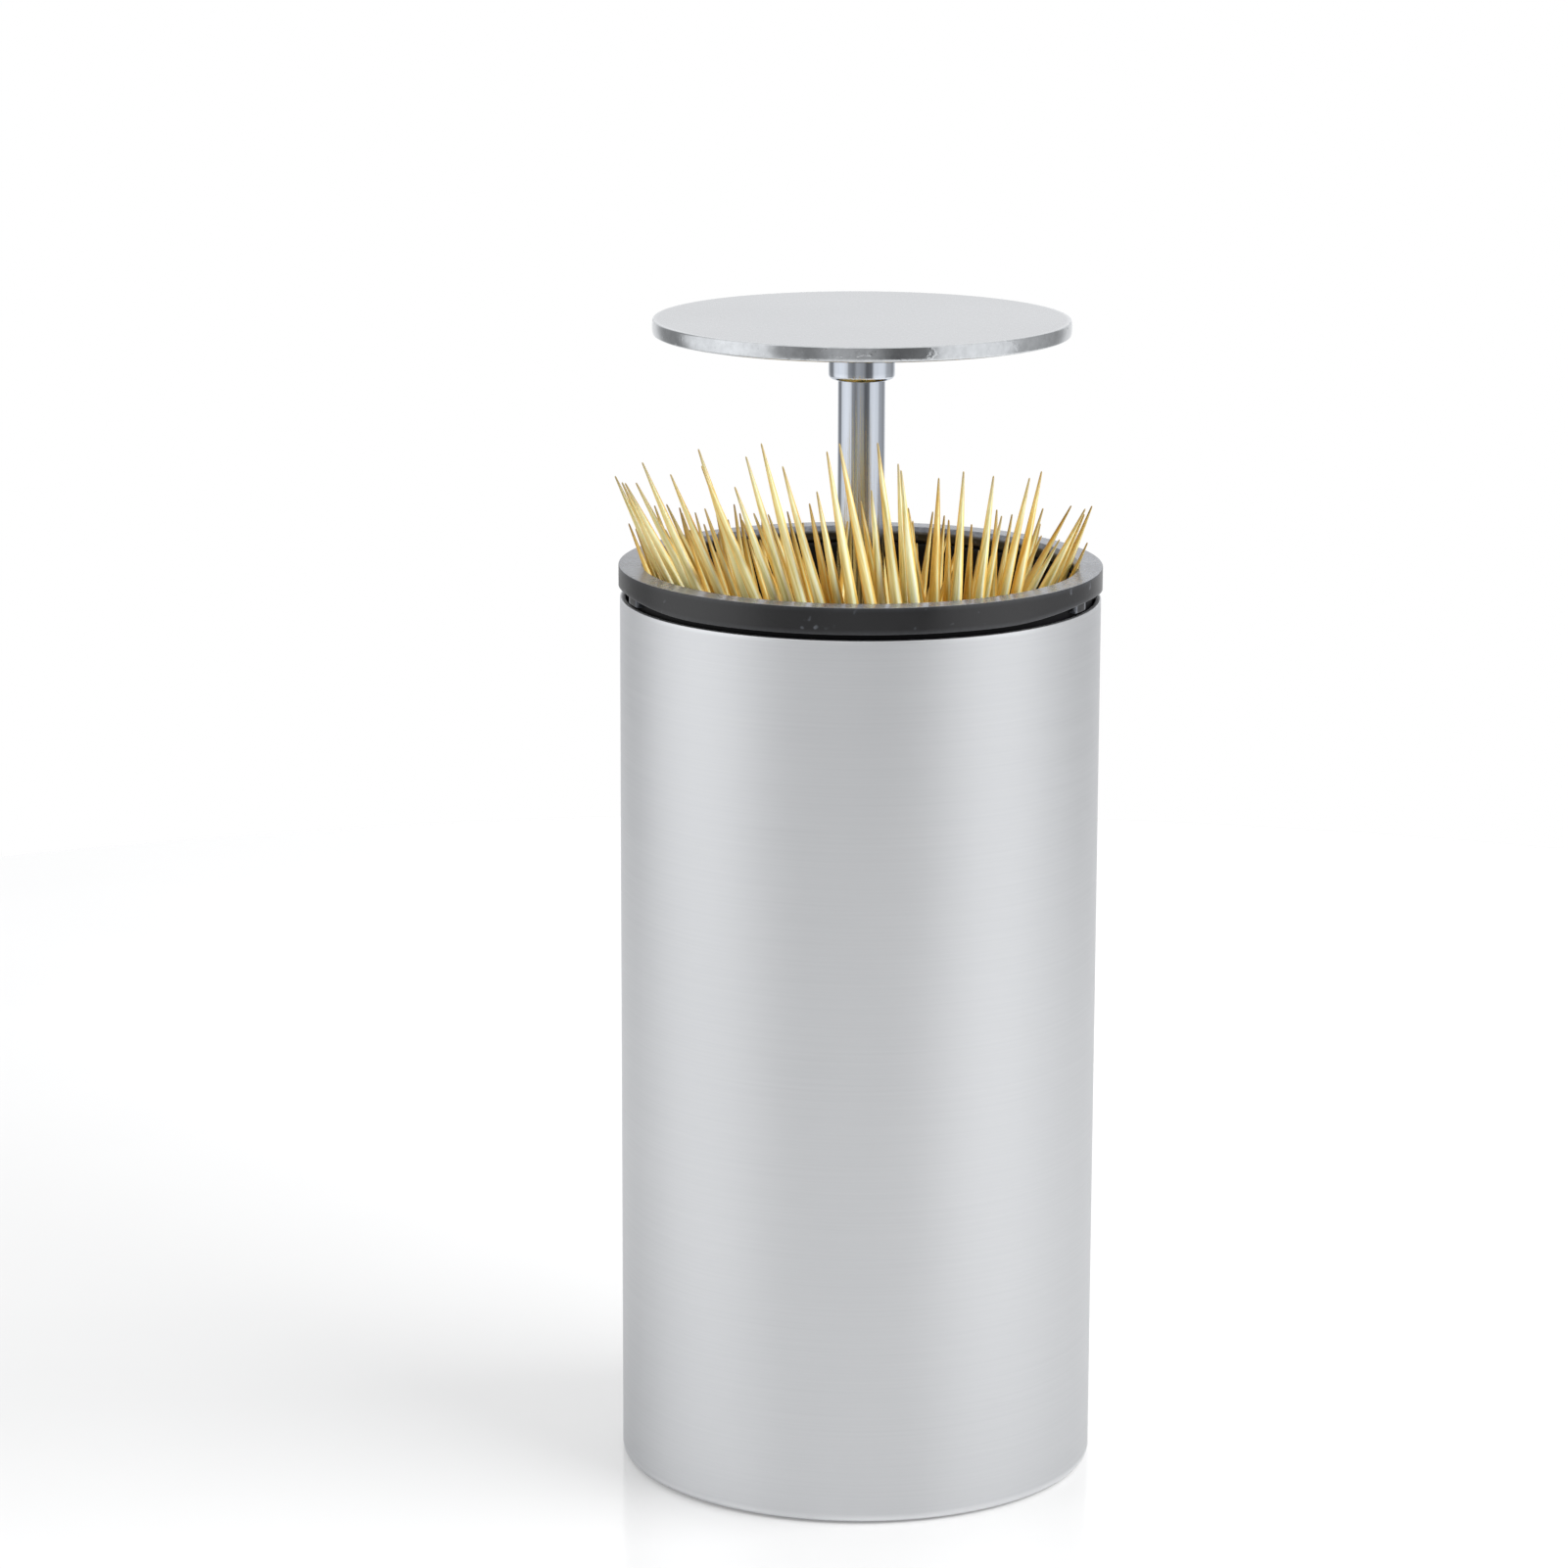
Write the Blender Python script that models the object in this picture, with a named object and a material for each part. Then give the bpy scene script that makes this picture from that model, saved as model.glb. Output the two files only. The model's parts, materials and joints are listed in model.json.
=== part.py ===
"""Push-to-open toothpick dispenser, modelled in metres with +Z up.

The steel sleeve stands on a pad. Pressing the lid lowers the dish with the toothpicks, and a turning
catch under the dish holds it down. The next press frees the catch, and the spring lifts the dish.
The rest pose is the raised one.
"""

import math

import bmesh
import bpy
import numpy as np
from mathutils import Matrix, Vector

MM = 0.001

# Driving sizes of the outer body
BODY_RADIUS = 25.0 * MM
SLEEVE_WALL = 0.6 * MM
SLEEVE_LIFT = 0.2 * MM
SLEEVE_LIP_WIDTH = 2.1 * MM
SLEEVE_FOOT_ROUND = 0.45 * MM
SLEEVE_EDGE_ROUND = 0.12 * MM

# Clearance between pieces that rest on or fit in each other
GAP = 0.3 * MM

# Ring round the mouth
GROOVE_HEIGHT = 0.6 * MM
FLANGE_HEIGHT = 2.75 * MM
RING_OVERHANG = 0.14 * MM
RING_EDGE_ROUND = 0.35 * MM
RING_FOOT_ROUND = 0.15 * MM
RIM_WIDTH = 2.84 * MM
MOUTH_ROUND = 0.4 * MM
LIP_THICKNESS = 1.5 * MM
SPIGOT_WALL = 0.9 * MM
SPIGOT_DEPTH = 7.5 * MM
SPACER_WIDTH = 2.4 * MM
SPACER_WALL = 0.5 * MM
SPACER_BEARINGS = (200.0, 333.0, 86.5)

# Inner cup
CUP_WALL = 1.3 * MM
SLOT_WIDTH = 4.8 * MM
GUIDE_BEARINGS = (30.0, 150.0, 270.0)
BOSS_BEARINGS = (90.0, 210.0, 330.0)
BOSS_RADIUS = 2.8 * MM
BOSS_INSET = 2.1 * MM
BOSS_HEIGHT = 10.5 * MM

# Pad, base and screws
PAD_HEIGHT = 0.9 * MM
PAD_EDGE_ROUND = 0.2 * MM
BASE_FLOOR = 3.1 * MM
TOWER_RADIUS = 9.4 * MM
TOWER_WALL = 1.4 * MM
SCREW_HEAD_RADIUS = 2.3 * MM
SCREW_HEAD_HEIGHT = 1.3 * MM
SCREW_HEAD_ROUND = 0.4 * MM
SCREW_RADIUS = 0.95 * MM
SCREW_LENGTH = 10.0 * MM
SCREW_POINT = 1.2 * MM
SCREW_RECESS = 0.6 * MM
SCREW_SLOT_WIDTH = 0.5 * MM

# Lid, rod and the travel between them
LID_CLEARANCE = 0.65 * MM
LID_THICKNESS = 1.56 * MM
LID_EDGE_ROUND = 0.18 * MM
LID_RISE = 25.57 * MM
CLICK_TRAVEL = 2.03 * MM
ROD_RADIUS = 2.45 * MM
ROD_SPIGOT_RADIUS = 1.5 * MM
ROD_SPIGOT_LENGTH = 0.9 * MM
STEM_RADIUS = 1.7 * MM
PIVOT_RADIUS = 1.35 * MM
ROD_FOOT_ROOM = 2.18 * MM
ROD_COLLAR_RADIUS = 3.44 * MM
ROD_COLLAR_HEIGHT = 4.4 * MM
ROD_COLLAR_ROUND = 0.45 * MM

# Dish that carries the toothpicks
DISH_FLOOR = 2.0 * MM
DISH_CLEARANCE = 0.4 * MM
DISH_RIM_WALL = 1.0 * MM
DISH_RIM_HEIGHT = 3.0 * MM
DISH_RIM_ROUND = 0.4 * MM
HUB_RADIUS = 5.2 * MM
HUB_CROWN_RADIUS = 4.2 * MM
HUB_RISE = 2.0 * MM
HUB_DROP = 1.5 * MM
HUB_ROUND = 0.4 * MM
SPRING_GUIDE_DEPTH = 2.5 * MM
SPRING_GUIDE_WALL = 1.2 * MM
LUG_WIDTH = 4.0 * MM
LUG_REACH = 1.4 * MM
WASHER_RADIUS = 3.7 * MM
WASHER_THICKNESS = 0.6 * MM
NUT_CORNER_RADIUS = 3.4 * MM
NUT_HEIGHT = 2.1 * MM
NUT_CHAMFER = 0.25 * MM
NUT_POCKET_RADIUS = 3.9 * MM

# Turning catch, its clip, and the catch collar
LATCH_COUNT = 4
COLLAR_HEIGHT = 5.1 * MM
COLLAR_FLANGE = 1.0 * MM
COLLAR_BORE_RADIUS = 3.6 * MM
COLLAR_LEAD_HEIGHT = 1.2 * MM
NOTCH_DEPTH = 1.7 * MM
LATCH_SLOT_WALL = 1.1 * MM
LATCH_SLOT_ANGLE = 36.0
LATCH_LUG_ANGLE = 28.0
LATCH_LUG_HEIGHT = 3.0 * MM
LATCH_LUG_SLANT = 0.9 * MM
LATCH_PLAY = 0.1 * MM
ROTOR_HUB_RADIUS = 3.0 * MM
ROTOR_HUB_RISE = 1.3 * MM
CLIP_RADIUS = 2.7 * MM
CLIP_THICKNESS = 0.6 * MM
CLIP_GROOVE_DEPTH = 0.5 * MM
CLIP_OPENING_ANGLE = 70.0
PIVOT_TAIL = 1.0 * MM
CAM_RING_INSET = 0.4 * MM
CAM_RING_WALL = 1.9 * MM
CAM_TOOTH_HEIGHT = 1.0 * MM

# Lifting spring and its seat
SPRING_WIRE_RADIUS = 0.4 * MM
SPRING_TOWER_GAP = 1.2 * MM
SPRING_TURN_COUNT = 12
SPRING_END_TURN_COUNT = 1
SPRING_END_PITCH = 1.35 * MM
SPRING_POINTS_PER_TURN = 8
SEAT_THICKNESS = 0.8 * MM
SEAT_MARGIN = 1.2 * MM

# Toothpicks
PICK_LENGTH = 65.0 * MM
PICK_RADIUS = 0.75 * MM
PICK_TIP_RADIUS = 0.14 * MM
PICK_HEADROOM = 6.55 * MM
PICK_CLEARANCE = 0.25 * MM
PICK_RIM_PLAY = 0.1 * MM
PICK_SIDES = 6
# Along half a toothpick: how far from the tip and how thick, as shares of length and radius
PICK_TAPER_SHARES = ((0.000, 0.187), (0.060, 0.440), (0.125, 0.720), (0.220, 1.000))

# How each toothpick stands in the photographed fan: where it crosses the rim, as a bearing in degrees
# from +X and a share of the mouth's radius, then where its foot stands, as a bearing and a share of
# the dish's radius
PICK_STANCE_SHARES = (
    (188, 0.95, 91, 0.75), (200, 0.95, 84, 0.38), (208, 0.95, 339, 0.26), (215, 0.95, 318, 0.34),
    (219, 0.95, 291, 0.55), (227, 0.95, 308, 0.28), (235, 0.95, 284, 0.68), (241, 0.95, 303, 0.85),
    (224, 0.92, 74, 0.56), (228, 0.85, 84, 0.42), (245, 0.95, 335, 0.32), (239, 0.78, 42, 0.56),
    (249, 0.95, 293, 0.60), (253, 0.95, 289, 0.88), (247, 0.84, 50, 0.47), (260, 0.95, 311, 0.60),
    (261, 0.88, 50, 0.40), (263, 0.90, 18, 0.26), (268, 0.95, 302, 0.55), (272, 0.95, 307, 0.80),
    (277, 0.88, 8, 0.36), (273, 0.80, 55, 0.56), (280, 0.95, 304, 0.73), (283, 0.95, 340, 0.49),
    (286, 0.93, 345, 0.38), (291, 0.86, 28, 0.66), (289, 0.82, 50, 0.62), (291, 0.93, 12, 0.30),
    (299, 0.82, 44, 0.66), (296, 0.95, 352, 0.30), (305, 0.84, 62, 0.74), (305, 0.95, 20, 0.32),
    (314, 0.86, 50, 0.84), (308, 0.93, 76, 0.70), (314, 0.95, 66, 0.30), (318, 0.95, 60, 0.44),
    (326, 0.90, 88, 0.82), (327, 0.95, 108, 0.60), (335, 0.95, 98, 0.40),
)
SETTLE_ROUNDS = 200
SETTLE_STEPS = 5
SETTLE_PULL_SHARE = 0.02
SETTLE_STOP_SHARE = 0.7
CROSSING_YIELD_SHARE = 0.05
PICK_STATION_COUNT = 14

# How finely round shapes are cut, and how far cutters run past what they cut
BODY_STEPS = 56
INNER_STEPS = 36
CORE_STEPS = 24
PIN_STEPS = 12
ARC_STEPS = 2
SECTOR_STEP_ANGLE = 12.0
SHARP_ANGLE = 35.0
FULL_TURN_ANGLE = 360.0
OVERRUN = 1.0 * MM
BITE = 0.4 * MM

# Radii from the sleeve inwards
RING_RADIUS = BODY_RADIUS + RING_OVERHANG
SLEEVE_BORE = BODY_RADIUS - SLEEVE_WALL
SPIGOT_RADIUS = SLEEVE_BORE - GAP
MOUTH_RADIUS = RING_RADIUS - RIM_WIDTH
CUP_RADIUS = MOUTH_RADIUS + CUP_WALL
BOSS_CIRCLE = MOUTH_RADIUS - BOSS_INSET
LID_RADIUS = MOUTH_RADIUS - LID_CLEARANCE
DISH_RADIUS = MOUTH_RADIUS - DISH_CLEARANCE
COLLAR_RADIUS = TOWER_RADIUS - TOWER_WALL - GAP
LATCH_SLOT_RADIUS = COLLAR_RADIUS - LATCH_SLOT_WALL
CAM_RING_RADIUS = LATCH_SLOT_RADIUS - CAM_RING_INSET
SPRING_MEAN_RADIUS = TOWER_RADIUS + SPRING_TOWER_GAP + SPRING_WIRE_RADIUS

# Heights from the pad up: base, catch, dish, toothpicks, lid, and then the rim that the lid closes
TRAVEL = LID_RISE + CLICK_TRAVEL
BASE_UNDER_Z = PAD_HEIGHT + GAP
BASE_TOP_Z = BASE_UNDER_Z + BASE_FLOOR
ROTOR_PRESSED_Z = BASE_TOP_Z + ROD_FOOT_ROOM + PIVOT_TAIL + CLIP_THICKNESS + GAP + GAP / 2
NOTCH_CEILING_Z = ROTOR_PRESSED_Z + LATCH_LUG_HEIGHT + CLICK_TRAVEL + LATCH_PLAY
COLLAR_UNDER_Z = NOTCH_CEILING_Z - NOTCH_DEPTH
COLLAR_TOP_Z = COLLAR_UNDER_Z + COLLAR_HEIGHT
COLLAR_FLANGE_TOP_Z = COLLAR_TOP_Z - COLLAR_LEAD_HEIGHT
TOWER_TOP_Z = COLLAR_FLANGE_TOP_Z - COLLAR_FLANGE - GAP
HUB_UNDER_Z = COLLAR_TOP_Z + TRAVEL + 2 * GAP
NUT_CEILING_Z = HUB_UNDER_Z + NUT_HEIGHT + 2 * GAP
DISH_UNDER_Z = HUB_UNDER_Z + HUB_DROP
DISH_TOP_Z = DISH_UNDER_Z + DISH_FLOOR
HUB_TOP_Z = DISH_TOP_Z + HUB_RISE
ROD_SHOULDER_Z = HUB_TOP_Z + WASHER_THICKNESS + 2 * GAP
ROTOR_UNDER_Z = ROTOR_PRESSED_Z + TRAVEL
ROTOR_TOP_Z = ROTOR_UNDER_Z + LATCH_LUG_HEIGHT
PIVOT_SHOULDER_Z = ROTOR_TOP_Z + ROTOR_HUB_RISE + GAP
CLIP_TOP_Z = ROTOR_UNDER_Z - GAP
PICK_FOOT_Z = DISH_TOP_Z + GAP + PICK_TIP_RADIUS
LID_UNDER_Z = DISH_TOP_Z + PICK_LENGTH + PICK_HEADROOM
LID_TOP_Z = LID_UNDER_Z + LID_THICKNESS
RIM_TOP_Z = LID_TOP_Z - LID_RISE
BODY_TOP_Z = RIM_TOP_Z - FLANGE_HEIGHT - GROOVE_HEIGHT


def clear_scene():
    """Remove every object of the scene that the script starts in."""
    for thing in list(bpy.data.objects):
        bpy.data.objects.remove(thing, do_unlink=True)


def surface(name, colour, roughness, metallic=0.0):
    """A Principled material with one colour."""
    material = bpy.data.materials.new(name)
    material.use_nodes = True
    shader = material.node_tree.nodes["Principled BSDF"]
    shader.inputs["Base Color"].default_value = (*colour, 1.0)
    shader.inputs["Roughness"].default_value = roughness
    shader.inputs["Metallic"].default_value = metallic
    material.diffuse_color = (*colour, 1.0)
    return material


def object_of(name, mesh_builder, material=None):
    """Turn a finished bmesh into a smooth-shaded object with crisp edges where faces turn sharply."""
    bmesh.ops.recalc_face_normals(mesh_builder, faces=mesh_builder.faces)
    mesh = bpy.data.meshes.new(name)
    mesh_builder.to_mesh(mesh)
    mesh_builder.free()
    mesh.shade_smooth()
    mesh.set_sharp_from_angle(angle=math.radians(SHARP_ANGLE))
    if material:
        mesh.materials.append(material)
    thing = bpy.data.objects.new(name, mesh)
    bpy.context.scene.collection.objects.link(thing)
    return thing


def rounded(corners):
    """Outline points from (radius, height, rounding) corners, each rounding drawn as a short arc."""
    points = []
    count = len(corners)
    for index, (x, z, rounding) in enumerate(corners):
        here = Vector((x, z))
        if not rounding:
            points.append(here)
            continue
        before = (Vector(corners[index - 1][:2]) - here).normalized()
        after = (Vector(corners[(index + 1) % count][:2]) - here).normalized()
        half = before.angle(after) / 2
        centre = here + (before + after).normalized() * rounding / math.sin(half)
        start = here + before * rounding / math.tan(half) - centre
        end = here + after * rounding / math.tan(half) - centre
        for step in range(ARC_STEPS + 1):
            along = start.lerp(end, step / ARC_STEPS).normalized() * rounding
            points.append(centre + along)
    return points


def turn(builder, outline, steps, closed):
    """Spin an outline of (radius, height) points about Z; a closed outline makes a ring."""
    points = [builder.verts.new((x, 0.0, z)) for x, z in outline]
    pairs = list(zip(points, points[1:]))
    if closed:
        pairs.append((points[-1], points[0]))
    edges = [builder.edges.new(pair) for pair in pairs]
    bmesh.ops.spin(
        builder,
        geom=points + edges,
        cent=(0.0, 0.0, 0.0),
        axis=(0.0, 0.0, 1.0),
        angle=math.tau,
        steps=steps,
        use_merge=True,
    )
    bmesh.ops.remove_doubles(builder, verts=builder.verts, dist=min(GAP, OVERRUN) / BODY_STEPS**2)


def turned(name, corners, steps, material=None):
    """A solid of revolution; corners that start and end on the axis close by themselves."""
    builder = bmesh.new()
    outline = rounded(corners)
    closed = min(corners[0][0], corners[-1][0]) > 0
    turn(builder, outline, steps, closed)
    return object_of(name, builder, material)


def add_sector(builder, inner, outer, start, end, low, high):
    """A ring sector between two bearings whose floor and ceiling are heights at a share of the way."""
    steps = max(2, math.ceil((end - start) / SECTOR_STEP_ANGLE))
    steps += steps % 2
    rows = []
    for step in range(steps + 1):
        share = step / steps
        bearing = math.radians(start + (end - start) * share)
        place = Vector((math.cos(bearing), math.sin(bearing), 0.0))
        corners = ((inner, low(share)), (outer, low(share)), (outer, high(share)), (inner, high(share)))
        rows.append([builder.verts.new(place * r + Vector((0.0, 0.0, z))) for r, z in corners])
    for row, following in zip(rows, rows[1:]):
        for side in range(4):
            after = (side + 1) % 4
            builder.faces.new((row[side], row[after], following[after], following[side]))
    builder.faces.new(rows[0])
    builder.faces.new(rows[-1])


def sectors(name, inner, outer, bearings, width, low, high):
    """One hidden helper holding a sector, width degrees wide, centred on each bearing."""
    builder = bmesh.new()
    for bearing in bearings:
        add_sector(builder, inner, outer, bearing - width / 2, bearing + width / 2, low, high)
    return hidden(object_of(name, builder))


def rods(name, circle, bearings, radius, bottom, top, steps=PIN_STEPS):
    """One hidden helper holding upright cylinders at bearings on a circle."""
    builder = bmesh.new()
    for bearing in bearings:
        angle = math.radians(bearing)
        place = Vector((circle * math.cos(angle), circle * math.sin(angle), (bottom + top) / 2))
        bmesh.ops.create_cone(
            builder,
            cap_ends=True,
            segments=steps,
            radius1=radius,
            radius2=radius,
            depth=top - bottom,
            matrix=Matrix.Translation(place),
        )
    return hidden(object_of(name, builder))


def hidden(thing):
    """Keep a helper out of renders and show it as wire."""
    thing.hide_render = True
    thing.display_type = "WIRE"
    return thing


def combine(thing, helper, operation):
    """Cut a helper out of an object, or join it on, with an exact Boolean."""
    modifier = thing.modifiers.new(helper.name, "BOOLEAN")
    modifier.operation = operation
    modifier.object = helper
    modifier.solver = "EXACT"
    return thing


def degrees_across(width, radius):
    """The angle that a width spans at a radius."""
    return math.degrees(2 * math.asin(width / (2 * radius)))


def level(height):
    """A floor or ceiling at one height."""
    return lambda share: height


def ridge(foot, peak):
    """A ceiling that climbs to a peak halfway and falls again."""
    return lambda share: foot + (peak - foot) * (1 - abs(2 * share - 1))


def slope(start, end):
    """A floor or ceiling that runs straight from one height to another."""
    return lambda share: start + (end - start) * share


def build_casing_sleeve(material):
    """Thin steel tube with its foot rolled inwards."""
    top = BODY_TOP_Z
    lip = BODY_RADIUS - SLEEVE_LIP_WIDTH
    corners = (
        (BODY_RADIUS, top, SLEEVE_EDGE_ROUND),
        (BODY_RADIUS, SLEEVE_LIFT, SLEEVE_FOOT_ROUND),
        (lip, SLEEVE_LIFT, 0.0),
        (lip, SLEEVE_LIFT + SLEEVE_WALL, 0.0),
        (SLEEVE_BORE, SLEEVE_LIFT + SLEEVE_WALL, 0.0),
        (SLEEVE_BORE, top, SLEEVE_EDGE_ROUND),
    )
    return turned("casing_sleeve", corners, BODY_STEPS, material)


def build_top_ring(material):
    """Mouth ring: flange, spigot inside the sleeve, and spacers that keep the shadow gap open."""
    flange_under = BODY_TOP_Z + GROOVE_HEIGHT
    spigot_bore = SPIGOT_RADIUS - SPIGOT_WALL
    corners = (
        (RING_RADIUS, RIM_TOP_Z, RING_EDGE_ROUND),
        (RING_RADIUS, flange_under, RING_FOOT_ROUND),
        (SPIGOT_RADIUS, flange_under, 0.0),
        (SPIGOT_RADIUS, flange_under - SPIGOT_DEPTH, 0.0),
        (spigot_bore, flange_under - SPIGOT_DEPTH, 0.0),
        (spigot_bore, RIM_TOP_Z - LIP_THICKNESS, 0.0),
        (MOUTH_RADIUS, RIM_TOP_Z - LIP_THICKNESS, 0.0),
        (MOUTH_RADIUS, RIM_TOP_Z, MOUTH_ROUND),
    )
    ring = turned("top_ring", corners, BODY_STEPS, material)
    width = degrees_across(SPACER_WIDTH, BODY_RADIUS)
    spacers = sectors(
        "spacer_helper",
        BODY_RADIUS - SPACER_WALL - GAP,
        BODY_RADIUS - GAP / 2,
        SPACER_BEARINGS,
        width,
        level(BODY_TOP_Z + GAP),
        level(flange_under + BITE),
    )
    return combine(ring, spacers, "UNION")


def build_inner_cup(material):
    """Liner with three slots that guide the dish and three screw bosses at its foot."""
    step_z = BODY_TOP_Z + GROOVE_HEIGHT - SPIGOT_DEPTH - GAP
    neck = SPIGOT_RADIUS - SPIGOT_WALL - GAP
    foot = BASE_TOP_Z + GAP
    corners = (
        (neck, RIM_TOP_Z - LIP_THICKNESS - GAP, 0.0),
        (neck, step_z, 0.0),
        (CUP_RADIUS, step_z, 0.0),
        (CUP_RADIUS, foot, 0.0),
        (MOUTH_RADIUS, foot, 0.0),
        (MOUTH_RADIUS, RIM_TOP_Z - LIP_THICKNESS - GAP, 0.0),
    )
    cup = turned("inner_cup", corners, INNER_STEPS, material)
    combine(cup, rods("boss_helper", BOSS_CIRCLE, BOSS_BEARINGS, BOSS_RADIUS, foot, foot + BOSS_HEIGHT), "UNION")
    pilot = SCREW_RADIUS + GAP
    pilots = rods("pilot_cutter", BOSS_CIRCLE, BOSS_BEARINGS, pilot, foot - OVERRUN, foot + BOSS_HEIGHT - OVERRUN)
    combine(cup, pilots, "DIFFERENCE")
    slots = sectors(
        "slot_cutter",
        MOUTH_RADIUS - OVERRUN,
        CUP_RADIUS + OVERRUN,
        GUIDE_BEARINGS,
        degrees_across(SLOT_WIDTH, CUP_RADIUS),
        level(foot - OVERRUN),
        level(DISH_TOP_Z + DISH_RIM_HEIGHT + GAP),
    )
    return combine(cup, slots, "DIFFERENCE")


def build_base_plug(material):
    """Base with the tower for the catch collar, a saw-toothed turning ring and the screw holes."""
    bore = TOWER_RADIUS - TOWER_WALL
    corners = (
        (0.0, BASE_TOP_Z, 0.0),
        (bore, BASE_TOP_Z, 0.0),
        (bore, TOWER_TOP_Z, 0.0),
        (TOWER_RADIUS, TOWER_TOP_Z, 0.0),
        (TOWER_RADIUS, BASE_TOP_Z, 0.0),
        (SLEEVE_BORE - GAP, BASE_TOP_Z, 0.0),
        (SLEEVE_BORE - GAP, BASE_UNDER_Z, 0.0),
        (0.0, BASE_UNDER_Z, 0.0),
    )
    base = turned("base_plug", corners, INNER_STEPS, material)
    teeth = 2 * LATCH_COUNT
    tip = ROTOR_PRESSED_Z - GAP
    builder = bmesh.new()
    support = (
        (CAM_RING_RADIUS, tip - CAM_TOOTH_HEIGHT),
        (CAM_RING_RADIUS, BASE_TOP_Z - BITE),
        (CAM_RING_RADIUS - CAM_RING_WALL, BASE_TOP_Z - BITE),
        (CAM_RING_RADIUS - CAM_RING_WALL, tip - CAM_TOOTH_HEIGHT),
    )
    turn(builder, support, CORE_STEPS, True)
    combine(base, hidden(object_of("turning_ring_helper", builder)), "UNION")
    builder = bmesh.new()
    for tooth in range(teeth):
        start = tooth * FULL_TURN_ANGLE / teeth
        end = start + FULL_TURN_ANGLE / teeth - degrees_across(GAP, CAM_RING_RADIUS)
        low = level(tip - CAM_TOOTH_HEIGHT - BITE)
        high = slope(tip - CAM_TOOTH_HEIGHT + BITE / 2, tip)
        add_sector(builder, CAM_RING_RADIUS - CAM_RING_WALL + GAP, CAM_RING_RADIUS - GAP, start, end, low, high)
    combine(base, hidden(object_of("tooth_helper", builder)), "UNION")
    head_bore = SCREW_HEAD_RADIUS + GAP
    head_top = BASE_UNDER_Z + SCREW_HEAD_HEIGHT + 2 * GAP
    heads = rods("head_cutter", BOSS_CIRCLE, BOSS_BEARINGS, head_bore, BASE_UNDER_Z - OVERRUN, head_top)
    combine(base, heads, "DIFFERENCE")
    shanks = rods(
        "shank_cutter", BOSS_CIRCLE, BOSS_BEARINGS, SCREW_RADIUS + GAP, BASE_UNDER_Z, BASE_TOP_Z + OVERRUN
    )
    return combine(base, shanks, "DIFFERENCE")


def build_ratchet_collar(material):
    """Fixed collar: slots let the catch lugs through, notches underneath hold them."""
    pitch = FULL_TURN_ANGLE / LATCH_COUNT
    corners = (
        (TOWER_RADIUS, COLLAR_FLANGE_TOP_Z, 0.0),
        (TOWER_RADIUS, COLLAR_FLANGE_TOP_Z - COLLAR_FLANGE, 0.0),
        (COLLAR_RADIUS, COLLAR_FLANGE_TOP_Z - COLLAR_FLANGE, 0.0),
        (COLLAR_RADIUS, COLLAR_UNDER_Z, 0.0),
        (COLLAR_BORE_RADIUS, COLLAR_UNDER_Z, 0.0),
        (COLLAR_BORE_RADIUS, COLLAR_FLANGE_TOP_Z, 0.0),
    )
    collar = turned("ratchet_collar", corners, INNER_STEPS, material)
    between = [pitch * (index + 0.5) for index in range(LATCH_COUNT)]
    inner = COLLAR_BORE_RADIUS + GAP
    leads = sectors(
        "lead_helper",
        inner,
        LATCH_SLOT_RADIUS,
        between,
        pitch - LATCH_SLOT_ANGLE,
        level(COLLAR_FLANGE_TOP_Z - BITE),
        ridge(COLLAR_FLANGE_TOP_Z + BITE / 2, COLLAR_TOP_Z),
    )
    combine(collar, leads, "UNION")
    through = sectors(
        "latch_slot_cutter",
        COLLAR_BORE_RADIUS - OVERRUN,
        LATCH_SLOT_RADIUS,
        [pitch * index for index in range(LATCH_COUNT)],
        LATCH_SLOT_ANGLE,
        level(COLLAR_UNDER_Z - OVERRUN),
        level(COLLAR_TOP_Z + OVERRUN),
    )
    combine(collar, through, "DIFFERENCE")
    notches = sectors(
        "notch_cutter",
        COLLAR_BORE_RADIUS - OVERRUN,
        LATCH_SLOT_RADIUS,
        between,
        LATCH_LUG_ANGLE + degrees_across(2 * GAP, LATCH_SLOT_RADIUS),
        level(COLLAR_UNDER_Z - OVERRUN),
        slope(NOTCH_CEILING_Z - LATCH_LUG_SLANT, NOTCH_CEILING_Z),
    )
    return combine(collar, notches, "DIFFERENCE")


def build_foot_pad(material):
    """Soft round pad that the dispenser stands on."""
    radius = BODY_RADIUS - SLEEVE_LIP_WIDTH - 2 * GAP
    corners = (
        (0.0, PAD_HEIGHT, 0.0),
        (radius, PAD_HEIGHT, PAD_EDGE_ROUND),
        (radius, 0.0, PAD_EDGE_ROUND),
        (0.0, 0.0, 0.0),
    )
    return turned("foot_pad", corners, INNER_STEPS, material)


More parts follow.
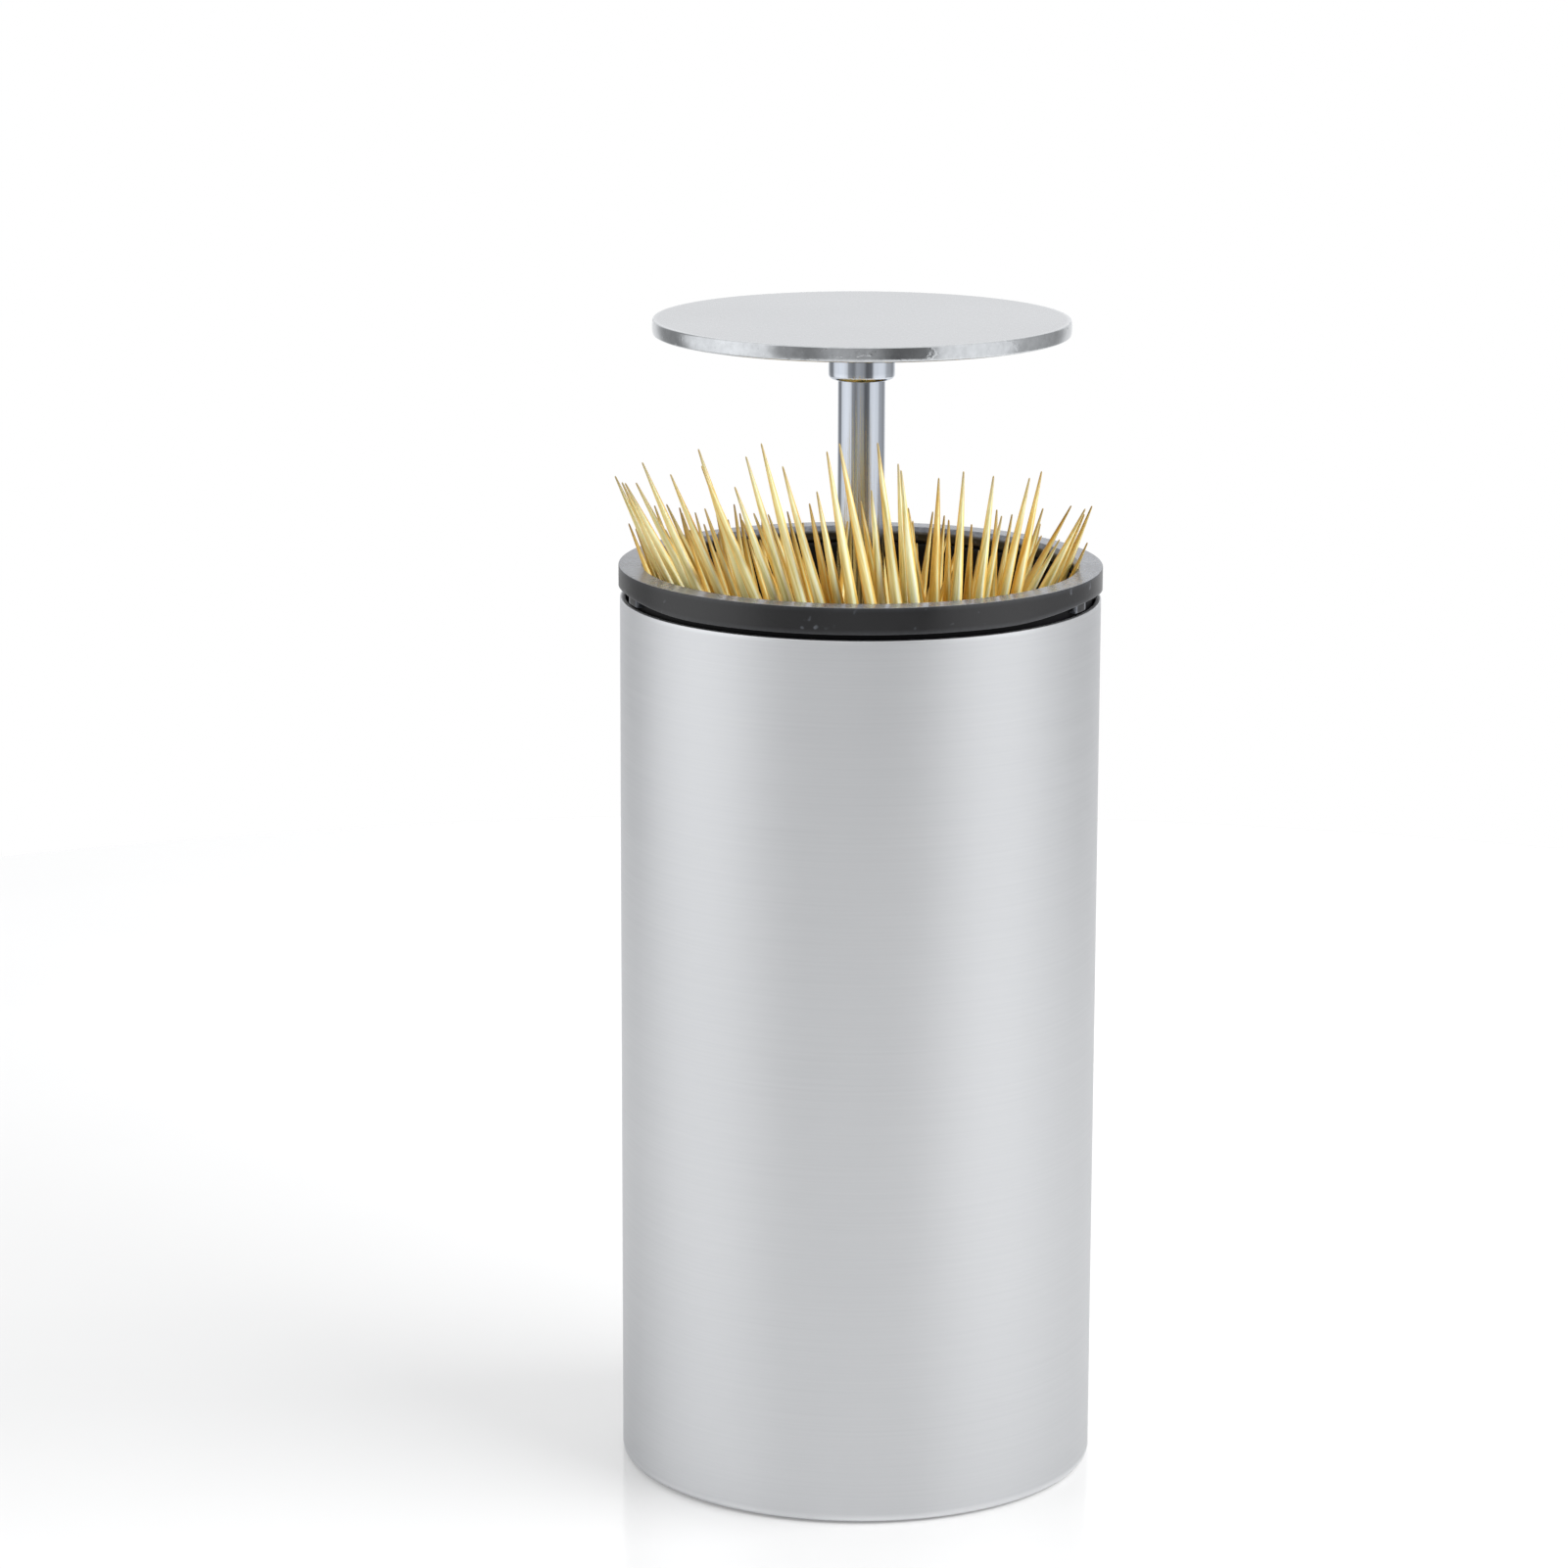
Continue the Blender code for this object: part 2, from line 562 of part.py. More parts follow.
def build_base_screw(index, bearing, material):
    """Pan-head screw, head down in the base, with a cross recess."""
    head_top = BASE_UNDER_Z + GAP + SCREW_HEAD_HEIGHT
    end = head_top + SCREW_LENGTH
    corners = (
        (0.0, end, 0.0),
        (SCREW_RADIUS, end - SCREW_POINT, 0.0),
        (SCREW_RADIUS, head_top, 0.0),
        (SCREW_HEAD_RADIUS, head_top, 0.0),
        (SCREW_HEAD_RADIUS, head_top - SCREW_HEAD_HEIGHT, SCREW_HEAD_ROUND),
        (0.0, head_top - SCREW_HEAD_HEIGHT, 0.0),
    )
    screw = turned(f"base_screw_{index}", corners, PIN_STEPS, material)
    builder = bmesh.new()
    reach = SCREW_HEAD_RADIUS - 2 * SCREW_HEAD_ROUND
    for length, width in ((2 * reach, SCREW_SLOT_WIDTH), (SCREW_SLOT_WIDTH, 2 * reach)):
        size = Vector((length, width, 2 * SCREW_RECESS))
        place = Vector((0.0, 0.0, head_top - SCREW_HEAD_HEIGHT))
        bmesh.ops.create_cube(builder, size=1.0, matrix=Matrix.LocRotScale(place, None, size))
    recess = hidden(object_of(f"recess_cutter_{index}", builder))
    combine(screw, recess, "DIFFERENCE").modifiers[-1].use_self = True
    angle = math.radians(bearing)
    for thing in (screw, recess):
        thing.location = (BOSS_CIRCLE * math.cos(angle), BOSS_CIRCLE * math.sin(angle), 0.0)
    return screw


def ring_plate(name, inner, outer, bottom, top, material):
    """A flat washer."""
    corners = ((outer, top, 0.0), (outer, bottom, 0.0), (inner, bottom, 0.0), (inner, top, 0.0))
    return turned(name, corners, CORE_STEPS, material)


def build_spring_seat(material):
    """Steel washer under the lifting spring."""
    bottom = BASE_TOP_Z + GAP
    outer = SPRING_MEAN_RADIUS + SPRING_WIRE_RADIUS + SEAT_MARGIN
    return ring_plate("spring_seat", TOWER_RADIUS + GAP, outer, bottom, bottom + SEAT_THICKNESS, material)


def build_lift_spring(material):
    """Compression spring whose end turns lie closer than the working ones."""
    bottom = BASE_TOP_Z + SEAT_THICKNESS + 2 * GAP + SPRING_WIRE_RADIUS
    top = DISH_UNDER_Z - GAP - SPRING_WIRE_RADIUS
    end_rise = SPRING_END_TURN_COUNT * SPRING_END_PITCH
    working = SPRING_TURN_COUNT - 2 * SPRING_END_TURN_COUNT
    turns = np.arange(SPRING_TURN_COUNT * SPRING_POINTS_PER_TURN + 1) / SPRING_POINTS_PER_TURN
    knots = (0.0, SPRING_END_TURN_COUNT, SPRING_END_TURN_COUNT + working, SPRING_TURN_COUNT)
    heights = np.interp(turns, knots, (bottom, bottom + end_rise, top - end_rise, top))
    angles = turns * math.tau
    curve = bpy.data.curves.new("lift_spring", "CURVE")
    curve.dimensions = "3D"
    curve.bevel_depth = SPRING_WIRE_RADIUS
    curve.bevel_resolution = 1
    curve.use_fill_caps = True
    curve.twist_mode = "Z_UP"
    spline = curve.splines.new("POLY")
    spline.points.add(len(turns) - 1)
    for point, angle, height in zip(spline.points, angles, heights):
        x = SPRING_MEAN_RADIUS * math.cos(angle)
        y = SPRING_MEAN_RADIUS * math.sin(angle)
        point.co = (x, y, height, 1.0)
    one_turn = heights[SPRING_POINTS_PER_TURN:] - heights[:-SPRING_POINTS_PER_TURN]
    least_gap = one_turn.min() - 2 * SPRING_WIRE_RADIUS
    print(f"lift_spring least gap between turns {least_gap / MM:.2f} mm")
    curve.materials.append(material)
    spring = bpy.data.objects.new("lift_spring", curve)
    bpy.context.scene.collection.objects.link(spring)
    return spring


def build_lid_disc(material):
    """Flat steel lid with a blind hole below that takes the rod's spigot."""
    hole = ROD_SPIGOT_RADIUS + GAP
    hole_top = LID_UNDER_Z + ROD_SPIGOT_LENGTH
    corners = (
        (0.0, LID_TOP_Z, 0.0),
        (LID_RADIUS, LID_TOP_Z, LID_EDGE_ROUND),
        (LID_RADIUS, LID_UNDER_Z, LID_EDGE_ROUND),
        (hole, LID_UNDER_Z, 0.0),
        (hole, hole_top, 0.0),
        (0.0, hole_top, 0.0),
    )
    return turned("lid_disc", corners, BODY_STEPS, material)


def build_rod_collar(material):
    """Short collar where the rod meets the lid."""
    top = LID_UNDER_Z - GAP
    bore = ROD_RADIUS + GAP
    corners = (
        (ROD_COLLAR_RADIUS, top, 0.0),
        (ROD_COLLAR_RADIUS, top - ROD_COLLAR_HEIGHT, ROD_COLLAR_ROUND),
        (bore, top - ROD_COLLAR_HEIGHT, 0.0),
        (bore, top, 0.0),
    )
    return turned("rod_collar", corners, CORE_STEPS, material)


def build_lifting_rod(material):
    """Rod from the lid down through the dish, stepped for the nut, the catch and its clip."""
    groove = PIVOT_RADIUS - CLIP_GROOVE_DEPTH
    groove_top = CLIP_TOP_Z + GAP / 2
    groove_bottom = CLIP_TOP_Z - CLIP_THICKNESS - GAP / 2
    corners = (
        (0.0, LID_UNDER_Z - GAP + ROD_SPIGOT_LENGTH, 0.0),
        (ROD_SPIGOT_RADIUS, LID_UNDER_Z - GAP + ROD_SPIGOT_LENGTH, 0.0),
        (ROD_SPIGOT_RADIUS, LID_UNDER_Z - GAP, 0.0),
        (ROD_RADIUS, LID_UNDER_Z - GAP, 0.0),
        (ROD_RADIUS, ROD_SHOULDER_Z, 0.0),
        (STEM_RADIUS, ROD_SHOULDER_Z, 0.0),
        (STEM_RADIUS, PIVOT_SHOULDER_Z, 0.0),
        (PIVOT_RADIUS, PIVOT_SHOULDER_Z, 0.0),
        (PIVOT_RADIUS, groove_top, 0.0),
        (groove, groove_top, 0.0),
        (groove, groove_bottom, 0.0),
        (PIVOT_RADIUS, groove_bottom, 0.0),
        (PIVOT_RADIUS, groove_bottom - PIVOT_TAIL, 0.0),
        (0.0, groove_bottom - PIVOT_TAIL, 0.0),
    )
    return turned("lifting_rod", corners, CORE_STEPS, material)


def build_toothpick_carrier(material):
    """Dish that slides in the cup, with a hub round the rod, a spring guide and three guide lugs."""
    rim_top = DISH_TOP_Z + DISH_RIM_HEIGHT
    rim_bore = DISH_RADIUS - DISH_RIM_WALL
    guide_bore = SPRING_MEAN_RADIUS + SPRING_WIRE_RADIUS + 2 * GAP
    guide_under = DISH_UNDER_Z - SPRING_GUIDE_DEPTH
    stem_bore = STEM_RADIUS + GAP
    corners = (
        (DISH_RADIUS, rim_top, DISH_RIM_ROUND),
        (DISH_RADIUS, DISH_UNDER_Z, 0.0),
        (guide_bore + SPRING_GUIDE_WALL, DISH_UNDER_Z, 0.0),
        (guide_bore + SPRING_GUIDE_WALL, guide_under, 0.0),
        (guide_bore, guide_under, 0.0),
        (guide_bore, DISH_UNDER_Z, 0.0),
        (HUB_RADIUS, DISH_UNDER_Z, 0.0),
        (HUB_RADIUS, HUB_UNDER_Z, 0.0),
        (NUT_POCKET_RADIUS, HUB_UNDER_Z, 0.0),
        (NUT_POCKET_RADIUS, NUT_CEILING_Z, 0.0),
        (stem_bore, NUT_CEILING_Z, 0.0),
        (stem_bore, HUB_TOP_Z, 0.0),
        (HUB_CROWN_RADIUS, HUB_TOP_Z, HUB_ROUND),
        (HUB_CROWN_RADIUS, DISH_TOP_Z, HUB_ROUND),
        (rim_bore, DISH_TOP_Z, 0.0),
        (rim_bore, rim_top, 0.0),
    )
    dish = turned("toothpick_carrier", corners, INNER_STEPS, material)
    lugs = sectors(
        "guide_lug_helper",
        DISH_RADIUS - BITE,
        DISH_RADIUS + LUG_REACH,
        GUIDE_BEARINGS,
        degrees_across(LUG_WIDTH, CUP_RADIUS),
        level(DISH_UNDER_Z + DISH_RIM_ROUND),
        level(rim_top - DISH_RIM_ROUND),
    )
    return combine(dish, lugs, "UNION")


def build_carrier_washer(material):
    """Washer between the rod's shoulder and the dish."""
    bottom = HUB_TOP_Z + GAP
    return ring_plate("carrier_washer", STEM_RADIUS + GAP, WASHER_RADIUS, bottom, bottom + WASHER_THICKNESS, material)


def build_carrier_nut(material):
    """Six-sided nut in the pocket under the dish."""
    bottom = NUT_CEILING_Z - GAP - NUT_HEIGHT
    top = bottom + NUT_HEIGHT
    flat = NUT_CORNER_RADIUS - NUT_CHAMFER
    corners = (
        (0.0, top, 0.0),
        (flat, top, 0.0),
        (NUT_CORNER_RADIUS, top - NUT_CHAMFER, 0.0),
        (NUT_CORNER_RADIUS, bottom + NUT_CHAMFER, 0.0),
        (flat, bottom, 0.0),
        (0.0, bottom, 0.0),
    )
    nut = turned("carrier_nut", corners, 6, material)
    bore = rods("nut_cutter", 0.0, (0.0,), STEM_RADIUS + GAP, bottom - OVERRUN, top + OVERRUN)
    return combine(nut, bore, "DIFFERENCE")


def build_click_rotor(material):
    """Catch that turns on the rod's foot, with four lugs whose tops slant."""
    bore = PIVOT_RADIUS + GAP
    top = ROTOR_TOP_Z + ROTOR_HUB_RISE
    corners = (
        (ROTOR_HUB_RADIUS, top, 0.0),
        (ROTOR_HUB_RADIUS, ROTOR_UNDER_Z, 0.0),
        (bore, ROTOR_UNDER_Z, 0.0),
        (bore, top, 0.0),
    )
    rotor = turned("click_rotor", corners, CORE_STEPS, material)
    lugs = sectors(
        "latch_lug_helper",
        ROTOR_HUB_RADIUS - BITE,
        LATCH_SLOT_RADIUS - GAP,
        [index * FULL_TURN_ANGLE / LATCH_COUNT for index in range(LATCH_COUNT)],
        LATCH_LUG_ANGLE,
        level(ROTOR_UNDER_Z),
        slope(ROTOR_TOP_Z - LATCH_LUG_SLANT, ROTOR_TOP_Z),
    )
    return combine(rotor, lugs, "UNION")


def build_rotor_clip(material):
    """Open spring clip in the rod's groove."""
    builder = bmesh.new()
    inner = PIVOT_RADIUS - CLIP_GROOVE_DEPTH + GAP
    start = CLIP_OPENING_ANGLE / 2
    end = FULL_TURN_ANGLE - start
    add_sector(builder, inner, CLIP_RADIUS, start, end, level(CLIP_TOP_Z - CLIP_THICKNESS), level(CLIP_TOP_Z))
    return object_of("rotor_clip", builder, material)


def pick_thickness(along):
    """Radius of a toothpick at distances along it, the same towards both tips."""
    from_tip = np.minimum(along, PICK_LENGTH - along)
    stations = [share * PICK_LENGTH for share, _ in PICK_TAPER_SHARES]
    radii = [share * PICK_RADIUS for _, share in PICK_TAPER_SHARES]
    return np.interp(from_tip, stations, radii)


def pick_ways(feet, crossings, drop):
    """Foot and direction of every toothpick once the dish has dropped.

    Each toothpick folds inwards in proportion to the drop, at the rate at which the rim first guides it.
    """
    run = crossings - feet
    reach = np.linalg.norm(run, axis=1)
    height = RIM_TOP_Z - PICK_FOOT_Z
    lean = np.arctan2(reach, height)
    rate = np.sin(lean) * np.cos(lean) / height
    folded = lean - rate * drop
    across = run / reach[:, None] * np.sin(folded)[:, None]
    places = np.column_stack([feet, np.full(len(feet), PICK_FOOT_Z - drop)])
    return places, np.column_stack([across, np.cos(folded)]), lean, rate


def narrowest_places(places, ways, first, second):
    """Where paired toothpicks come nearest, tried where their axes pass and at stations along the first.

    Returns the distances along both, what parts the axes there, and the free gap.
    """
    between = places[first] - places[second]
    cosine = (ways[first] * ways[second]).sum(axis=1)
    along_first = (ways[first] * between).sum(axis=1)
    along_second = (ways[second] * between).sum(axis=1)
    spread = np.maximum(1 - cosine**2, np.finfo(float).eps)
    passing = np.clip((cosine * along_second - along_first) / spread, 0, PICK_LENGTH)
    stations = np.linspace(0, PICK_LENGTH, PICK_STATION_COUNT)
    here = np.column_stack([np.broadcast_to(stations, (len(first), PICK_STATION_COUNT)), passing])
    from_foot = places[first][:, None] + here[..., None] * ways[first][:, None] - places[second][:, None]
    there = np.clip((from_foot * ways[second][:, None]).sum(axis=2), 0, PICK_LENGTH)
    parting = from_foot - there[..., None] * ways[second][:, None]
    free = np.linalg.norm(parting, axis=2) - pick_thickness(here) - pick_thickness(there)
    pair, nearest = np.arange(len(first)), free.argmin(axis=1)
    return here[pair, nearest], there[pair, nearest], parting[pair, nearest], free[pair, nearest]


def photographed_stances():
    """Feet and rim crossings of the toothpicks as the fan shows them, before they are kept apart."""
    crossing_bearing, crossing_share, foot_bearing, foot_share = np.array(PICK_STANCE_SHARES).T
    crossing_bearing, foot_bearing = np.radians(crossing_bearing), np.radians(foot_bearing)
    crossings = np.column_stack([np.cos(crossing_bearing), np.sin(crossing_bearing)])
    feet = np.column_stack([np.cos(foot_bearing), np.sin(foot_bearing)])
    return feet * (DISH_RADIUS * foot_share)[:, None], crossings * (MOUTH_RADIUS * crossing_share)[:, None]


def yielding(share):
    """How far a foot and a rim crossing move to shift a toothpick by one unit at a share of the way up.

    The crossing yields less than the foot, so that the fan keeps its look above the rim.
    """
    stiffness = (1 - share) ** 2 + CROSSING_YIELD_SHARE * share**2
    return ((1 - share) / stiffness)[:, None], (CROSSING_YIELD_SHARE * share / stiffness)[:, None]


def settle_picks():
    """Stand the toothpicks in the photographed fan, then nudge them until none touch at any height.

    Returns their feet, and the points where they cross the rim's height.
    """
    height = RIM_TOP_Z - PICK_FOOT_Z
    shown_feet, shown_crossings = photographed_stances()
    feet, crossings = keep_inside(shown_feet, shown_crossings)
    pairs = np.triu_indices(len(feet), 1)
    for turn_number in range(SETTLE_ROUNDS):
        push_feet = np.zeros_like(feet)
        push_crossings = np.zeros_like(crossings)
        worst = np.inf
        for drop in np.linspace(0, TRAVEL, SETTLE_STEPS):
            places, ways = pick_ways(feet, crossings, drop)[:2]
            here, there, parting, free = narrowest_places(places, ways, *pairs)
            worst = min(worst, free.min())
            tight = free < PICK_CLEARANCE
            flat = parting[tight, :2]
            flat = flat / np.maximum(np.linalg.norm(flat, axis=1), PICK_TIP_RADIUS)[:, None]
            nudge = (PICK_CLEARANCE - free[tight])[:, None] * flat / 2
            for side, along, shift in ((0, here, nudge), (1, there, -nudge)):
                touched = pairs[side][tight]
                share = (along[tight] * ways[touched, 2] / height).clip(0, 1)
                foot_part, crossing_part = yielding(share)
                np.add.at(push_feet, touched, shift * foot_part)
                np.add.at(push_crossings, touched, shift * crossing_part)
        if worst > PICK_CLEARANCE * SETTLE_STOP_SHARE:
            break
        fading = SETTLE_PULL_SHARE * (1 - turn_number / SETTLE_ROUNDS)
        feet = feet + push_feet / 2 + fading * (shown_feet - feet)
        crossings = crossings + push_crossings / 2 + fading * (shown_crossings - crossings)
        feet, crossings = keep_inside(feet, crossings)
    print(f"toothpicks settled in {turn_number + 1} rounds, least gap {worst / MM:.3f} mm")
    return feet, crossings


def keep_inside(feet, crossings):
    """Move toothpicks back inside the dish and the mouth, and away from the hub and the rod."""
    lean = pick_ways(feet, crossings, 0.0)[2]
    rim_limit = MOUTH_RADIUS - PICK_RIM_PLAY - PICK_RADIUS / np.cos(lean)
    radius = np.linalg.norm(crossings, axis=1)
    crossings = crossings * np.minimum(1, rim_limit / radius)[:, None]
    radius = np.linalg.norm(feet, axis=1)
    outer = DISH_RADIUS - DISH_RIM_WALL - HUB_ROUND - PICK_TIP_RADIUS - GAP
    inner = HUB_CROWN_RADIUS + HUB_ROUND + PICK_TIP_RADIUS + 2 * GAP
    feet = feet * (np.clip(radius, inner, outer) / radius)[:, None]
    run = crossings - feet
    share = (-(feet * run).sum(axis=1) / (run**2).sum(axis=1)).clip(0, 1)
    sideways = np.column_stack([-run[:, 1], run[:, 0]]) / np.linalg.norm(run, axis=1)[:, None]
    beside = (feet * sideways).sum(axis=1)
    keep = ROD_RADIUS + PICK_RADIUS + PICK_CLEARANCE
    nearest = np.linalg.norm(feet + share[:, None] * run, axis=1)
    short = np.where(nearest < keep, keep - np.abs(beside), 0) * np.where(beside < 0, -1, 1)
    foot_part, crossing_part = yielding(share)
    shift = sideways * short[:, None]
    return feet + shift * foot_part, crossings + shift * crossing_part


def build_toothpicks(material, lift):
    """One object for each toothpick, its origin at the foot that it folds about."""
    feet, crossings = settle_picks()
    places, ways, leans, rates = pick_ways(feet, crossings, 0.0)
    stations = [(share * PICK_LENGTH, size * PICK_RADIUS) for share, size in PICK_TAPER_SHARES]
    half = [(0.0, -PICK_TIP_RADIUS / 2)] + [(radius, along) for along, radius in stations]
    outline = half + [(radius, PICK_LENGTH - along) for radius, along in reversed(half)]
    for index, (place, way, lean, rate) in enumerate(zip(places, ways, leans, rates), start=1):
        builder = bmesh.new()
        turn(builder, outline, PICK_SIDES, False)
        pick = object_of(f"toothpick_{index:02d}", builder, material)
        bearing = math.atan2(way[1], way[0])
        pick.parent = lift
        pick.location = place
        pick.rotation_euler = (0.0, lean, bearing)
        print(
            f"fold toothpick_{index:02d} foot {place[0]:.6f} {place[1]:.6f} {place[2]:.6f}"
            f" bearing {math.degrees(bearing):.4f} lean {math.degrees(lean):.4f} rate {rate:.5f}"
        )


def build():
    """Build every piece; the lid's pieces and the toothpicks hang on one empty on the lid's axis."""
    clear_scene()
    steel = surface("brushed_steel", (0.62, 0.61, 0.59), 0.32, 1.0)
    polished = surface("polished_steel", (0.72, 0.71, 0.69), 0.16, 1.0)
    zinc = surface("zinc_plated_steel", (0.55, 0.56, 0.58), 0.4, 1.0)
    spring_wire = surface("spring_wire", (0.48, 0.48, 0.5), 0.3, 1.0)
    black = surface("black_plastic", (0.012, 0.012, 0.013), 0.38)
    liner = surface("liner_plastic", (0.008, 0.008, 0.009), 0.55)
    natural = surface("natural_acetal", (0.78, 0.76, 0.7), 0.45)
    rubber = surface("foot_rubber", (0.03, 0.03, 0.03), 0.85)
    wood = surface("birch_wood", (0.72, 0.5, 0.24), 0.6)
    lift = bpy.data.objects.new("lid_lift", None)
    bpy.context.scene.collection.objects.link(lift)
    build_casing_sleeve(steel)
    build_top_ring(black)
    build_inner_cup(liner)
    build_base_plug(black)
    build_ratchet_collar(natural)
    build_foot_pad(rubber)
    for index, bearing in enumerate(BOSS_BEARINGS, start=1):
        build_base_screw(index, bearing, zinc)
    build_spring_seat(zinc)
    build_lift_spring(spring_wire)
    lid_pieces = (
        build_lid_disc(steel),
        build_rod_collar(polished),
        build_lifting_rod(polished),
        build_toothpick_carrier(liner),
        build_carrier_washer(zinc),
        build_carrier_nut(zinc),
        build_click_rotor(natural),
        build_rotor_clip(spring_wire),
    )
    for piece in lid_pieces:
        piece.parent = lift
    build_toothpicks(wood, lift)


build()
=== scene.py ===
"""Dressed model of a toothpick dispenser whose lid is pushed down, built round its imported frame.

The sleeve, mouth ring, cup, lid, rod, dish, pad, spring and long toothpicks are turned or swept here
as fine surfaces and stand for the frame's own nodes. The base, the catch, the screws, nut and washers
and the clip keep the frame's shapes and get procedural finishes. Short toothpicks between the long ones
are added. Lengths are in metres, but for ShortPlaces, and heights are measured from the table.
"""

import json
import logging
import math
from dataclasses import dataclass, field, fields, replace
from enum import Enum

import bpy
import numpy as np
from mathutils import Matrix, Vector


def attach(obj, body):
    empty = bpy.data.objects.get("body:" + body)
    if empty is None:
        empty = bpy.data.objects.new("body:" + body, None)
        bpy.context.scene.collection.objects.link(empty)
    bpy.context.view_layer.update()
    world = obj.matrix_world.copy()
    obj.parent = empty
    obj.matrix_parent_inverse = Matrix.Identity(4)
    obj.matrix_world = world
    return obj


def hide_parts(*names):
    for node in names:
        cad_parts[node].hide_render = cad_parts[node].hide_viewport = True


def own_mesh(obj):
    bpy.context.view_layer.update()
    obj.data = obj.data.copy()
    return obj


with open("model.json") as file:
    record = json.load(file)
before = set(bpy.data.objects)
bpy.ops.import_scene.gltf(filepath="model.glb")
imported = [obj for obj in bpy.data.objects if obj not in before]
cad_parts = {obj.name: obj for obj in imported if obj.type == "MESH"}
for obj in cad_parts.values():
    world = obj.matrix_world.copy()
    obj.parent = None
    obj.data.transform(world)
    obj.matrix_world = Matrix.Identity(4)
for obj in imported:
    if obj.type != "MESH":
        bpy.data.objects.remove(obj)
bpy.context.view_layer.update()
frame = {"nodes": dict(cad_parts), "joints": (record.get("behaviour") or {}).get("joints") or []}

Socket = bpy.types.NodeSocket
Triple = tuple[float, float, float]
Feed = Socket | float | tuple

MM = 0.001
FULL_TURN = 2 * math.pi
NEVER_ZERO = 1e-9
TAPER_EASE = 1.45

# Roundings of corners, from a sharp one to a soft one
SHARP = 0.05 * MM
CRISP = 0.1 * MM
EASED = 0.15 * MM
SOFT = 0.2 * MM
LEAST_ROUNDING = 0.04 * MM

# Longest strip beside a rounding over which its wear runs out
WEAR_RUN_OUT = 0.4 * MM

# Where most values of a noise lie
NOISE_BAND = (0.3, 0.7)

log = logging.getLogger("toothpick_dispenser")


class Brushing(Enum):
    """Which way the hairlines of brushed steel run, as stretch per metre along X, Y and Z."""

    AROUND = (45.0, 45.0, 3800.0)
    ALONG = (3200.0, 3200.0, 30.0)
    GRAINED = (2600.0, 2600.0, 2600.0)


class Body(Enum):
    """Moving bodies of the frame that the pieces ride on."""

    CASING = "casing"
    LID = "lid"


class Slot(Enum):
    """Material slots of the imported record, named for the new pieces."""

    BRUSHED_STEEL = "brushed_steel"
    POLISHED_STEEL = "polished_steel"
    SPRING_WIRE = "spring_wire"
    BLACK_PLASTIC = "black_plastic"
    LINER_PLASTIC = "liner_plastic"
    FOOT_RUBBER = "foot_rubber"
    BIRCH_WOOD = "birch_wood"


@dataclass(frozen=True)
class Profile:
    """Outline of a turned or swept piece.

    Attributes:
        points: Rows of (radius, height).
        wear: How much each point is rubbed, one on the roundings and nought on the flats.
    """

    points: np.ndarray
    wear: np.ndarray


@dataclass(frozen=True)
class Skin:
    """A closed surface.

    Attributes:
        points: Rows of X, Y, Z.
        faces: Rows of four point numbers; a triangle repeats its third.
        uv: Place of each face corner on the pattern, (faces, 4, 2).
        wear: How much each point is rubbed.
        finish: Number of the material of each face.
    """

    points: np.ndarray
    faces: np.ndarray
    uv: np.ndarray
    wear: np.ndarray
    finish: np.ndarray


def rounded_profile(corners: list[tuple[float, float, float]], steps: int = 4) -> Profile:
    """Draw an outline with rounded corners, and a point on the flats just before and after each.

    A rounding of size s at a corner whose sides meet at angle a touches them s / tan(a / 2) away, about
    a centre s / sin(a / 2) along the line that halves the corner.

    Args:
        corners: (radius, height, rounding) in metres, in order; corners on the axis stay sharp.
        steps: Facets in each rounding.

    Returns:
        The outline with its wear.
    """
    table = np.array(corners)
    spots, size = table[:, :2], np.maximum(table[:, 2], LEAST_ROUNDING)
    ahead = np.roll(spots, -1, axis=0) - spots
    length = np.linalg.norm(ahead, axis=1)
    forward = ahead / np.maximum(length, NEVER_ZERO)[:, None]
    back = -np.roll(forward, 1, axis=0)
    half = np.arccos(np.clip((forward * back).sum(axis=1), -1, 1)) / 2
    reach = size / np.tan(half)
    middle = (forward + back) / np.maximum(np.linalg.norm(forward + back, axis=1), NEVER_ZERO)[:, None]
    centre = spots + middle * (size / np.sin(half))[:, None]
    share = np.linspace(0, 1, steps + 1)[None, :, None]
    start, end = spots + back * reach[:, None], spots + forward * reach[:, None]
    arc = start[:, None] * (1 - share) + end[:, None] * share - centre[:, None]
    arc = centre[:, None] + arc / np.linalg.norm(arc, axis=2, keepdims=True) * size[:, None, None]
    free = length - reach - np.roll(reach, -1)
    run_out = np.minimum(WEAR_RUN_OUT, free / 3)
    lead_in = start + back * np.roll(run_out, 1)[:, None]
    lead_out = end + forward * run_out[:, None]
    rows = np.concatenate([lead_in[:, None], arc, lead_out[:, None]], axis=1)
    wear = np.zeros(rows.shape[:2])
    wear[:, 1:-1] = 1
    on_axis = spots[:, 0] == 0
    rows[on_axis] = spots[on_axis][:, None]
    wear[on_axis] = 0
    keep = np.ones(wear.shape, dtype=bool)
    keep[on_axis, 1:] = False
    return Profile(rows[keep], wear[keep])


